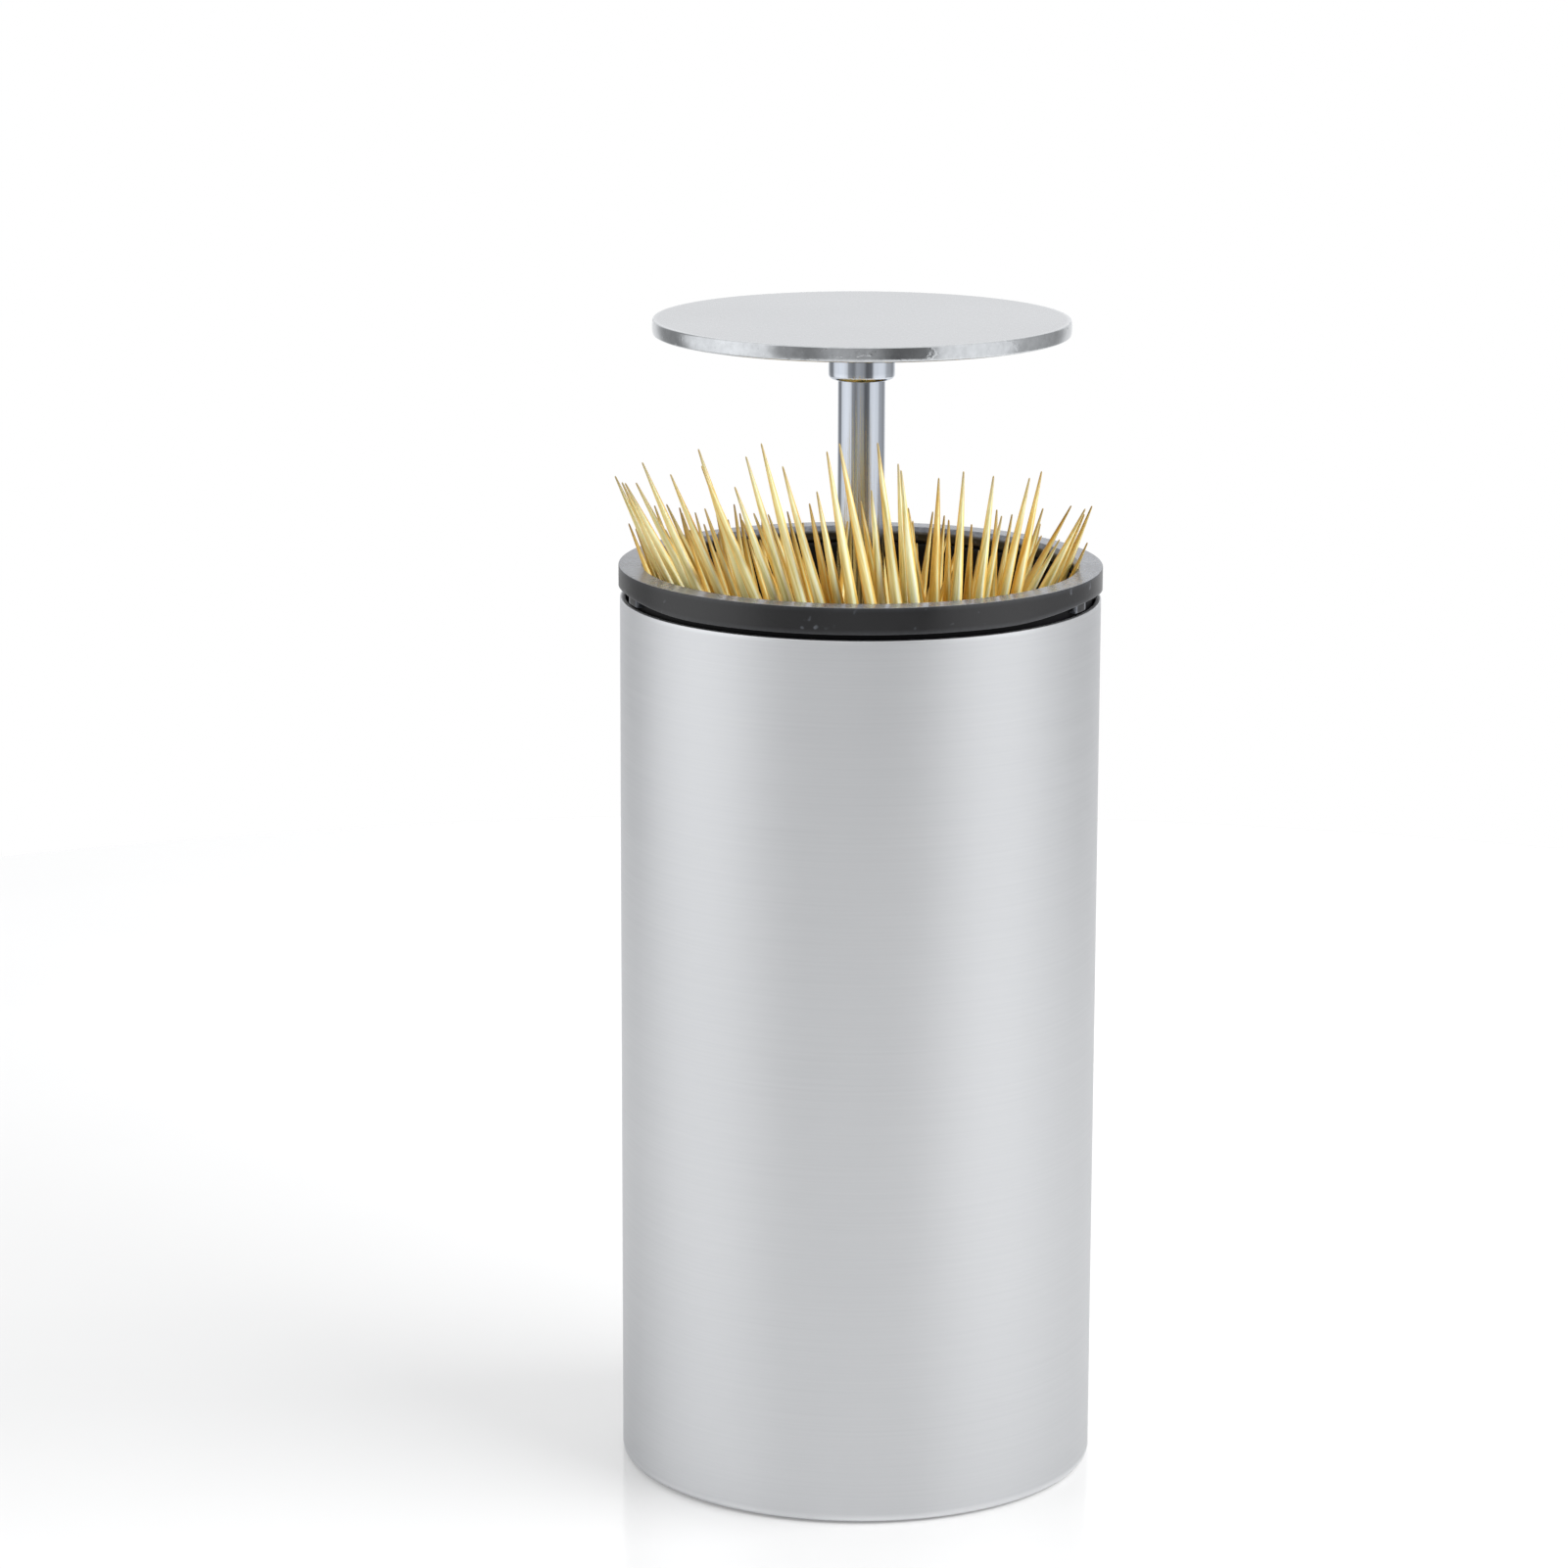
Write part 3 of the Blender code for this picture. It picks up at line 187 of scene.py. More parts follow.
def skin_of(rows: np.ndarray, wear: np.ndarray, closed: bool, ends: bool, turn_uv: bool = False) -> Skin:
    """Skin a grid of points whose columns close on themselves.

    Four neighbours on the grid make a face. Where an end row is one point, its faces are triangles.

    Args:
        rows: (rows, columns, 3) points.
        wear: (rows, columns) rubbing.
        closed: Whether the last row joins the first.
        ends: Whether the first and the last row each stand for one point.
        turn_uv: Whether the pattern runs along the columns instead of the rows.

    Returns:
        The skin, faces outward.
    """
    count, around = rows.shape[:2]
    number = np.arange(count * around).reshape(count, around)
    if ends:
        number[0], number[-1] = number[0, 0], number[-1, 0]
    last = count if closed else count - 1
    upper, lower = number[np.arange(last)], number[(np.arange(last) + 1) % count]
    ring = (np.arange(around) + 1) % around
    faces = np.stack([upper, lower, lower[:, ring], upper[:, ring]], axis=-1).reshape(-1, 4)
    step = np.linalg.norm(np.diff(rows, axis=0, append=rows[:1]), axis=2).max(axis=1)
    down = np.concatenate([[0], np.cumsum(step)])
    across = np.arange(around + 1) / around
    row, column = np.repeat(np.arange(last), around), np.tile(np.arange(around), last)
    u = across[np.stack([column, column, column + 1, column + 1], axis=-1)]
    v = down[np.stack([row, row + 1, row + 1, row], axis=-1)]
    uv = np.stack([v, u] if turn_uv else [u, v], axis=-1)
    top, bottom = faces[:, 0] == faces[:, 3], faces[:, 1] == faces[:, 2]
    faces[top, 3], uv[top, 3] = faces[top, 2], uv[top, 2]
    faces[bottom, 2], uv[bottom, 2] = faces[bottom, 3], uv[bottom, 3]
    used, faces = np.unique(faces, return_inverse=True)
    points = rows.reshape(-1, 3)[used]
    faces = faces.reshape(-1, 4)
    fan = points[faces]
    volume = np.einsum("ij,ij->", fan[:, 0], np.cross(fan[:, 1], fan[:, 2]))
    volume += np.einsum("ij,ij->", fan[:, 0], np.cross(fan[:, 2], fan[:, 3]))
    if volume < 0:
        turned = np.where((faces[:, 2] == faces[:, 3])[:, None], [2, 1, 0, 0], [3, 2, 1, 0])
        faces = np.take_along_axis(faces, turned, axis=1)
        uv = np.take_along_axis(uv, turned[:, :, None], axis=1)
    return Skin(points, faces, uv, wear.reshape(-1)[used], np.zeros(len(faces), dtype=np.int32))


def turned(profile: Profile, steps: int) -> Skin:
    """Turn an outline about Z: (radius, height) at angle a goes to (radius cos a, radius sin a, height).

    Args:
        profile: The outline; one that starts and ends on the axis makes a solid, any other a ring.
        steps: Facets round the axis.

    Returns:
        The turned skin.
    """
    angle = np.arange(steps) * FULL_TURN / steps
    radius, height = profile.points[:, :1], profile.points[:, 1:]
    spread = np.broadcast_to(height, (len(radius), steps))
    rows = np.stack([radius * np.cos(angle), radius * np.sin(angle), spread], axis=-1)
    solid = bool(profile.points[0, 0] == 0)
    return skin_of(rows, np.repeat(profile.wear[:, None], steps, axis=1), not solid, solid)


def arc_block(profile: Profile, start: float, end: float, steps: int) -> Skin:
    """Carry a closed outline along an arc about Z and close both its ends at their middles.

    Args:
        profile: The section as (radius, height).
        start: First bearing in degrees from +X.
        end: Last bearing in degrees.
        steps: Facets along the arc.

    Returns:
        The block.
    """
    angle = np.radians(np.linspace(start, end, steps + 1))[:, None]
    angle = np.concatenate([angle[:1], angle, angle[-1:]])
    section = np.repeat(profile.points[None], steps + 3, axis=0)
    middle = (profile.points.min(axis=0) + profile.points.max(axis=0)) / 2
    section[[0, -1]] = middle
    wear = np.repeat(profile.wear[None], steps + 3, axis=0)
    wear[[1, -2]], wear[[0, -1]] = 1, 0
    radius, height = section[..., 0], section[..., 1]
    rows = np.stack([radius * np.cos(angle), radius * np.sin(angle), height], axis=-1)
    return skin_of(rows, wear, False, True)


def rod_along(path: np.ndarray, radii: np.ndarray, side: np.ndarray, facets: int) -> Skin:
    """Carry a circle along a path: a point is the path plus radius times (cos b side + sin b other).

    Args:
        path: (n, 3) points.
        radii: (n, facets) or (n, 1) distances of the surface from the path; end rows are closed.
        side: A direction that is never along the path.
        facets: Facets round the path.

    Returns:
        The closed tube.
    """
    way = np.gradient(path, axis=0)
    way /= np.linalg.norm(way, axis=1, keepdims=True)
    first = np.cross(way, side)
    first /= np.linalg.norm(first, axis=1, keepdims=True)
    other = np.cross(way, first)
    angle = (np.arange(facets) * FULL_TURN / facets)[None, :, None]
    round_it = np.cos(angle) * first[:, None] + np.sin(angle) * other[:, None]
    radii = np.broadcast_to(radii, (len(path), facets))
    rows = path[:, None] + radii[..., None] * round_it
    ends = path[[0, -1]][:, None] * np.ones((1, facets, 1))
    rows = np.concatenate([ends[:1], rows, ends[1:]])
    return skin_of(rows, np.zeros(rows.shape[:2]), False, True)


def scaled(colour: Triple, factor: float) -> Triple:
    """A colour with every part multiplied by a factor."""
    return tuple(factor * part for part in colour)


def joined(skins: list[Skin]) -> Skin:
    """Put several skins into one.

    Args:
        skins: Closed surfaces.

    Returns:
        One skin holding them all.
    """
    offset = np.cumsum([0] + [len(skin.points) for skin in skins])
    moved = [replace(skin, faces=skin.faces + start) for skin, start in zip(skins, offset)]
    return Skin(*(np.concatenate([getattr(skin, part.name) for skin in moved]) for part in fields(Skin)))


def shifted(skin: Skin, x: float, y: float) -> Skin:
    """The same skin moved sideways."""
    return replace(skin, points=skin.points + np.array([x, y, 0.0]))


def piece_of(
    name: str, skin: Skin, finishes: list["Finish"], tone: float | np.ndarray = 0.5
) -> bpy.types.Object:
    """Make a smooth-shaded piece at the origin from a skin.

    Args:
        name: Name of the piece.
        skin: Its surface.
        finishes: Its materials, in the order of the skin's finish numbers.
        tone: Shade of the piece among its like, or one for each point, kept as an attribute; on the
            toothpicks it also carries a painted highlight and painted shade.

    Returns:
        The new object.
    """
    corner = np.ones(skin.faces.shape, dtype=bool)
    corner[:, 3] = skin.faces[:, 3] != skin.faces[:, 2]
    total = corner.sum(axis=1).astype(np.int32)
    mesh = bpy.data.meshes.new(name)
    mesh.vertices.add(len(skin.points))
    mesh.vertices.foreach_set("co", skin.points.astype(np.float32).ravel())
    mesh.loops.add(int(total.sum()))
    mesh.loops.foreach_set("vertex_index", skin.faces[corner].astype(np.int32))
    mesh.polygons.add(len(total))
    mesh.polygons.foreach_set("loop_start", (np.cumsum(total) - total).astype(np.int32))
    mesh.polygons.foreach_set("loop_total", total)
    mesh.polygons.foreach_set("material_index", skin.finish.astype(np.int32))
    mesh.uv_layers.new(name="surface").uv.foreach_set("vector", skin.uv[corner].astype(np.float32).ravel())
    mesh.attributes.new("wear", "FLOAT", "POINT").data.foreach_set("value", skin.wear.astype(np.float32))
    tones = np.broadcast_to(tone, len(skin.points)).astype(np.float32)
    mesh.attributes.new("tone", "FLOAT", "POINT").data.foreach_set("value", tones)
    mesh.update(calc_edges=True)
    mesh.validate()
    mesh.shade_smooth()
    for finish in finishes:
        mesh.materials.append(finish.material())
    piece = bpy.data.objects.new(name, mesh)
    bpy.context.scene.collection.objects.link(piece)
    return piece


def settle(piece: bpy.types.Object, body: str, slot: Slot, *nodes: str) -> None:
    """Let a piece ride on a body and stand for its nodes.

    Args:
        piece: The finished piece.
        body: Body that it moves with.
        slot: Record slot of its finish; not used.
        *nodes: Nodes that it replaces.
    """
    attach(piece, body)
    if nodes:
        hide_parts(*nodes)
    log.info("%s: %d faces, rides on %s, stands for %s", piece.name, len(piece.data.polygons), body, nodes)


class NodeSheet:
    """A tree of shader nodes, with short calls for those that the finishes and the light share."""

    def __init__(self, owner: bpy.types.Material | bpy.types.World) -> None:
        """Start on the tree of a new material, which has a Principled shader, or of a world.

        Args:
            owner: The material or world.
        """
        owner.use_nodes = True
        self.tree = owner.node_tree
        self.shader = self.tree.nodes.get("Principled BSDF")

    def feed(self, socket: Socket, value: Feed) -> None:
        """Link an output to an input, or set the input where the value is a number or a colour.

        Args:
            socket: The input.
            value: What goes in.
        """
        if isinstance(value, bpy.types.NodeSocket):
            self.tree.links.new(value, socket)
        else:
            socket.default_value = (*value, 1.0) if socket.type == "RGBA" else value

    def add(self, kind: str, feeds: dict[str | int, Feed], **options: str) -> bpy.types.Node:
        """Add a node.

        Args:
            kind: Its type, without the prefix that all shader nodes have.
            feeds: What goes into its inputs, by name or number.
            **options: Its settings.

        Returns:
            The node.
        """
        node = self.tree.nodes.new(f"ShaderNode{kind}")
        for option, value in options.items():
            setattr(node, option, value)
        for socket, value in feeds.items():
            self.feed(node.inputs[socket], value)
        return node

    def shade(self, **feeds: Feed) -> None:
        """Feed the sockets of the shader, named with underscores for spaces."""
        for socket, value in feeds.items():
            self.feed(self.shader.inputs[socket.replace("_", " ")], value)

    def place(self, source: str = "Object", stretch: Triple = (1.0, 1.0, 1.0)) -> Socket:
        """Coordinates of a pattern, from the object or its UV, scaled along each axis."""
        coordinates = self.add("TexCoord", {}).outputs[source]
        return self.add("Mapping", {"Vector": coordinates, "Scale": stretch}).outputs["Vector"]

    def noise(self, place: Socket, scale: float, detail: float) -> Socket:
        """Cloudy variation between nought and one, with scale clouds per unit and finer ones by detail."""
        return self.add("TexNoise", {"Vector": place, "Scale": scale, "Detail": detail}).outputs["Fac"]

    def streaks(self, stretch: Triple, detail: float, source: str = "Object") -> Socket:
        """Noise stretched along the axes."""
        return self.noise(self.place(source, stretch), 1.0, detail)

    def attribute(self, name: str) -> Socket:
        """A number kept on the points of the mesh."""
        return self.add("Attribute", {}, attribute_name=name).outputs["Fac"]

    def ranged(
        self, value: Socket, start: float, end: float, low: float, high: float, **options: str
    ) -> Socket:
        """Carry a value from start..end to low..high and clamp it there."""
        feeds = {"Value": value, "From Min": start, "From Max": end, "To Min": low, "To Max": high}
        return self.add("MapRange", feeds, **options).outputs["Result"]

    def varied(self, noise: Socket, low: float, high: float) -> Socket:
        """Carry a noise to low..high."""
        return self.ranged(noise, *NOISE_BAND, low, high)

    def maths(self, operation: str, first: Socket, second: Feed) -> Socket:
        """Join two values with one operation."""
        return self.add("Math", {0: first, 1: second}, operation=operation).outputs["Value"]

    def ramp(self, value: Socket, stops: list[tuple[float, Triple]], way: str = "LINEAR") -> Socket:
        """Colours along a value.

        Args:
            value: The value.
            stops: Position and colour of each stop.
            way: How the colours run between the stops.

        Returns:
            The colour output.
        """
        node = self.add("ValToRGB", {"Fac": value})
        node.color_ramp.interpolation = way
        elements = node.color_ramp.elements
        for _ in stops[2:]:
            elements.new(0.5)
        for element, (position, colour) in zip(elements, stops):
            element.position = position
            element.color = (*colour, 1.0)
        return node.outputs["Color"]

    def tinted(self, noise: Socket, low: Triple, high: Triple) -> Socket:
        """Run from one colour to another with a noise."""
        return self.ramp(noise, list(zip(NOISE_BAND, (low, high))))

    def mixed(self, share: Socket, first: Feed, second: Feed) -> Socket:
        """Blend two colours, share being how much of the second shows."""
        return self.add("Mix", {0: share, 6: first, 7: second}, data_type="RGBA").outputs[2]

    def relief(self, *layers: tuple[Socket, float]) -> None:
        """Raise the surface by several patterns in turn.

        Args:
            *layers: Height output and depth in metres of each pattern.
        """
        below = {}
        for height, depth in layers:
            node = self.add("Bump", {"Distance": depth, "Height": height, **below})
            below = {"Normal": node.outputs["Normal"]}
        self.shade(**below)


@dataclass(frozen=True)
class Finish:
    """A surface finish, made into a material once.

    Attributes:
        name: Name of the material.
    """

    name: str

    def material(self) -> bpy.types.Material:
        """The material of this finish, made when first asked for."""
        made = bpy.data.materials.get(self.name)
        if not made:
            made = bpy.data.materials.new(self.name)
            self.dress(NodeSheet(made))
        return made

    def dress(self, sheet: NodeSheet) -> None:
        """Lay the nodes of this finish on its empty sheet."""
        raise NotImplementedError


@dataclass(frozen=True)
class Steel(Finish):
    """Bare steel with hairlines, faint cloudiness and brighter rubbed edges.

    Attributes:
        dark: Colour at its darkest.
        light: Colour at its lightest.
        roughness: Middle roughness.
        spread: How far hairlines change the roughness.
        brushing: Way of the hairlines.
        depth: Depth of the hairlines.
    """

    dark: Triple
    light: Triple
    roughness: float
    spread: float
    brushing: Brushing
    depth: float

    def dress(self, sheet: NodeSheet) -> None:
        """Lay hairlines on the object's own coordinates into colour, roughness and relief.

        Args:
            sheet: Its empty node tree.
        """
        place = sheet.place("Object", self.brushing.value)
        hairlines = sheet.noise(place, scale=1.0, detail=4.0)
        fine = sheet.noise(place, scale=2.7, detail=2.0)
        clouds = sheet.streaks((60.0, 60.0, 22.0), detail=2.0)
        parts = sheet.maths("MULTIPLY", hairlines, 0.55), sheet.maths("MULTIPLY", clouds, 0.45)
        colour = sheet.ramp(sheet.maths("ADD", *parts), [(0.32, self.dark), (0.68, self.light)])
        worn = sheet.maths("MULTIPLY", sheet.attribute("wear"), sheet.ranged(clouds, 0.35, 0.7, 0.3, 1.0))
        brightened = tuple(min(1.0, 1.16 * part) for part in self.light)
        rough = sheet.varied(hairlines, self.roughness - self.spread, self.roughness + self.spread)
        rubbed = sheet.maths("SUBTRACT", rough, sheet.maths("MULTIPLY", worn, 0.08))
        sheet.shade(
            Base_Color=sheet.mixed(worn, colour, brightened),
            Roughness=sheet.maths("MAXIMUM", rubbed, 0.05),
            Metallic=1.0,
        )
        sheet.relief((hairlines, self.depth), (fine, self.depth / 2))


@dataclass(frozen=True)
class EdgeSteel(Finish):
    """The lid's polished cut edge, with a fine grain and small nicks.

    Attributes:
        colour: Colour of the metal.
        roughness: Middle roughness.
    """

    colour: Triple = (0.66, 0.68, 0.70)
    roughness: float = 0.1

    def dress(self, sheet: NodeSheet) -> None:
        """Lay marks, nicks and smears on the object's own coordinates.

        Args:
            sheet: Its empty node tree.
        """
        marks = sheet.streaks((1500.0, 1500.0, 1500.0), detail=3.0)
        nicks = sheet.streaks((900.0, 900.0, 1500.0), detail=2.0)
        dents = sheet.ranged(nicks, 0.62, 0.72, 0.0, 1.0)
        smears = sheet.streaks((130.0, 130.0, 1300.0), detail=2.0)
        rough = sheet.varied(smears, self.roughness - 0.04, self.roughness + 0.06)
        sheet.shade(
            Base_Color=sheet.tinted(marks, scaled(self.colour, 0.86), self.colour),
            Roughness=sheet.maths("ADD", rough, sheet.maths("MULTIPLY", dents, 0.15)),
            Metallic=1.0,
        )
        sheet.relief((marks, 0.004 * MM), (dents, 0.012 * MM), (smears, 0.006 * MM))


@dataclass(frozen=True)
class MouldedPlastic(Finish):
    """Moulded plastic with a fine spark-eroded grain, rubbed edges and a few pale scuffs; on the mouth ring
    the pale also paints a sheen on the top face.

    Attributes:
        pale: Colour where it is rubbed, and on the mouth ring the painted sheen of its top face and painted
            highlight of its bevel.
        roughness: Middle roughness.
        colour: Colour of the plastic.
        grain: Depth of the grain.
        scuffs: How much of the surface is scuffed, nought for none.
        gloss: Strength of its mirror-like part.
    """

    pale: Triple
    roughness: float
    colour: Triple = (0.006, 0.006, 0.007)
    grain: float = 0.006 * MM
    scuffs: float = 0.5
    gloss: float = 0.5

    def dress(self, sheet: NodeSheet) -> None:
        """Lay grain, clouds and scuffs on the object's own coordinates.

        Args:
            sheet: Its empty node tree.
        """
        place = sheet.place()
        grain = sheet.noise(place, scale=2400.0, detail=2.0)
        clouds = sheet.noise(place, scale=130.0, detail=4.0)
        patches = sheet.ranged(sheet.noise(place, scale=210.0, detail=2.0), 0.45, 0.6, 0.0, 1.0)
        flecks = sheet.ranged(sheet.noise(place, scale=950.0, detail=1.0), 0.69, 0.75, 0.0, self.scuffs)
        # Wear: rubbed edges, and on the mouth ring's top face and bevel a painted sheen and painted highlight
        edge = sheet.maths("MULTIPLY", sheet.attribute("wear"), sheet.ranged(clouds, 0.35, 0.65, 0.6, 1.0))
        rubbed = sheet.maths("MAXIMUM", sheet.maths("MULTIPLY", flecks, patches), edge)
        base = sheet.tinted(clouds, scaled(self.colour, 0.72), self.colour)
        pale = sheet.ramp(grain, [(0.35, scaled(self.pale, 0.8)), (0.65, scaled(self.pale, 1.2))])
        rough = sheet.varied(clouds, self.roughness - 0.06, self.roughness + 0.06)
        sheet.shade(
            Base_Color=sheet.mixed(rubbed, base, pale),
            Roughness=sheet.maths("SUBTRACT", rough, sheet.maths("MULTIPLY", edge, 0.1)),
            Specular_IOR_Level=self.gloss,
        )
        sheet.relief((grain, self.grain), (clouds, 0.02 * MM))


@dataclass(frozen=True)
class Acetal(Finish):
    """Milky slippery plastic of the catch."""

    def dress(self, sheet: NodeSheet) -> None:
        """Lay flow marks and fine polish lines on the object's own coordinates.

        Args:
            sheet: Its empty node tree.
        """
        flow = sheet.streaks((180.0, 180.0, 420.0), detail=3.0)
        grain = sheet.noise(sheet.place(), scale=1900.0, detail=2.0)
        sheet.shade(
            Base_Color=sheet.tinted(flow, (0.70, 0.67, 0.58), (0.82, 0.80, 0.73)),
            Roughness=sheet.varied(flow, 0.3, 0.46),
            Subsurface_Weight=0.2,
            Subsurface_Scale=0.001,
        )
        sheet.relief((grain, 0.004 * MM), (flow, 0.02 * MM))


@dataclass(frozen=True)
class ZincPlate(Finish):
    """Pressed steel under a dull zinc plate with blotchy lustre."""

    def dress(self, sheet: NodeSheet) -> None:
        """Lay blotches and press marks on the object's own coordinates.

        Args:
            sheet: Its empty node tree.
        """
        blotches = sheet.noise(sheet.place(), scale=420.0, detail=4.0)
        marks = sheet.streaks((1600.0, 300.0, 900.0), detail=2.0)
        sheet.shade(
            Base_Color=sheet.tinted(blotches, (0.46, 0.48, 0.52), (0.66, 0.68, 0.71)),
            Roughness=sheet.varied(blotches, 0.26, 0.46),
            Metallic=1.0,
        )
        sheet.relief((marks, 0.006 * MM), (blotches, 0.01 * MM))


@dataclass(frozen=True)
class DrawnWire(Finish):
    """Oiled spring wire with draw lines along it."""

    def dress(self, sheet: NodeSheet) -> None:
        """Lay draw lines on the wire's own pattern, and clouds on the object's coordinates.

        Args:
            sheet: Its empty node tree.
        """
        lines = sheet.streaks((26.0, 90.0, 1.0), detail=2.0, source="UV")
        clouds = sheet.noise(sheet.place(), scale=300.0, detail=3.0)
        sheet.shade(
            Base_Color=sheet.tinted(clouds, (0.30, 0.29, 0.28), (0.50, 0.50, 0.51)),
            Roughness=sheet.varied(lines, 0.18, 0.36),
            Metallic=1.0,
        )
        sheet.relief((lines, 0.006 * MM), (clouds, 0.006 * MM))


@dataclass(frozen=True)
class PadRubber(Finish):
    """Dull non-slip rubber with a dusty bloom."""

    def dress(self, sheet: NodeSheet) -> None:
        """Lay grain and dust on the object's own coordinates.

        Args:
            sheet: Its empty node tree.
        """
        place = sheet.place()
        dust = sheet.noise(place, scale=160.0, detail=5.0)
        grain = sheet.noise(place, scale=2100.0, detail=2.0)
        worn = sheet.maths("MULTIPLY", sheet.attribute("wear"), 0.5)
        base = sheet.ramp(dust, [(0.35, (0.022, 0.022, 0.022)), (0.72, (0.055, 0.053, 0.05))])
        sheet.shade(
            Base_Color=sheet.mixed(worn, base, (0.1, 0.098, 0.094)),
            Roughness=sheet.varied(dust, 0.72, 0.9),
        )
        sheet.relief((grain, 0.02 * MM), (dust, 0.03 * MM))


@dataclass(frozen=True)
class BirchWood(Finish):
    """Split wood of the toothpicks: fibres along them, tones from pale straw to ochre, with a painted
    highlight and painted shade.

    Attributes:
        straw: Colours of the pale wood, from the bottom of a fibre to its top.
        ochre: The same for the dark wood.
        pale_wood_and_highlight: Cream where the tone is below nought, mostly the painted highlight band and a
            little where the tone dips at random.
        dark_wood_and_shade: Brown where the tone is high, which is painted shade on the flanks and darker
            wood where the tone is high at random.
        burnt: Colour of the tips.
    """

    straw: tuple[Triple, Triple, Triple] = ((0.54, 0.48, 0.16), (0.87, 0.825, 0.39), (1.0, 0.99, 0.65))
    ochre: tuple[Triple, Triple, Triple] = ((0.66, 0.33, 0.03), (0.96, 0.59, 0.11), (1.0, 0.83, 0.34))
    pale_wood_and_highlight: Triple = (1.0, 0.99, 0.78)
    dark_wood_and_shade: Triple = (0.50, 0.30, 0.07)
    burnt: Triple = (0.27, 0.17, 0.05)

    def dress(self, sheet: NodeSheet) -> None:
        """Lay fibres on the toothpick's own pattern; its tone attribute picks the wood and carries the
        painted highlight and painted shade.

        Args:
            sheet: Its empty node tree.
        """
        fibres = sheet.streaks((2400.0, 80.0, 1.0), detail=4.0, source="UV")
        fine = sheet.streaks((6500.0, 240.0, 1.0), detail=2.0, source="UV")
        patches = sheet.streaks((140.0, 140.0, 50.0), detail=2.0)
        stops = (0.3, 0.48, 0.7)
        straw, ochre = (sheet.ramp(fibres, list(zip(stops, wood))) for wood in (self.straw, self.ochre))
        tone = sheet.maths("ADD", sheet.attribute("tone"), sheet.varied(patches, -0.18, 0.18))
        colour = sheet.mixed(sheet.ranged(tone, 0.0, 1.0, 0.0, 1.0), straw, ochre)
        # Cream paints the highlight band; brown paints shade on the flanks and darkens wood of high tone
        colour = sheet.mixed(sheet.ranged(tone, 0.0, -0.7, 0.0, 0.8), colour, self.pale_wood_and_highlight)
        colour = sheet.mixed(sheet.ranged(tone, 0.8, 1.6, 0.0, 0.8), colour, self.dark_wood_and_shade)
        sheet.shade(
            Base_Color=sheet.mixed(sheet.attribute("wear"), colour, self.burnt),
            Roughness=sheet.varied(fine, 0.30, 0.46),
            Specular_IOR_Level=0.5,
            Subsurface_Weight=0.05,
            Subsurface_Scale=0.0004,
        )
        sheet.relief((fibres, 0.03 * MM), (fine, 0.008 * MM))


SLEEVE_STEEL = Steel(
    "satin_sleeve_steel", (0.73, 0.742, 0.758), (0.78, 0.79, 0.805), 0.5, 0.03, Brushing.AROUND, 0.0015 * MM
)
LID_STEEL = Steel(
    "lid_face_steel", (0.57, 0.58, 0.595), (0.62, 0.63, 0.645), 0.3, 0.04, Brushing.GRAINED, 0.002 * MM
)
ROD_STEEL = Steel(
    "polished_rod_steel", (0.51, 0.55, 0.615), (0.61, 0.645, 0.70), 0.1, 0.03, Brushing.ALONG, 0.002 * MM
)
LID_EDGE = EdgeSteel("lid_edge_steel")
# Its pale paints the sheen of the ring's top face and the highlight of its mouth bevel
RING_PLASTIC = MouldedPlastic("mouth_ring_plastic", (0.175, 0.188, 0.215), 0.34, grain=0.012 * MM, gloss=0.65)
LINER_PLASTIC = MouldedPlastic(
    "cup_liner_plastic", (0.012, 0.012, 0.013), 0.6, colour=(0.004, 0.004, 0.005), scuffs=0.05, gloss=0.2
)
BASE_PLASTIC = MouldedPlastic("base_plastic", (0.03, 0.03, 0.032), 0.45, scuffs=0.2)
ACETAL = Acetal("natural_acetal_moulding")
ZINC = ZincPlate("zinc_plate")
WIRE = DrawnWire("drawn_spring_wire")
RUBBER = PadRubber("pad_rubber")
WOOD = BirchWood("split_birch")


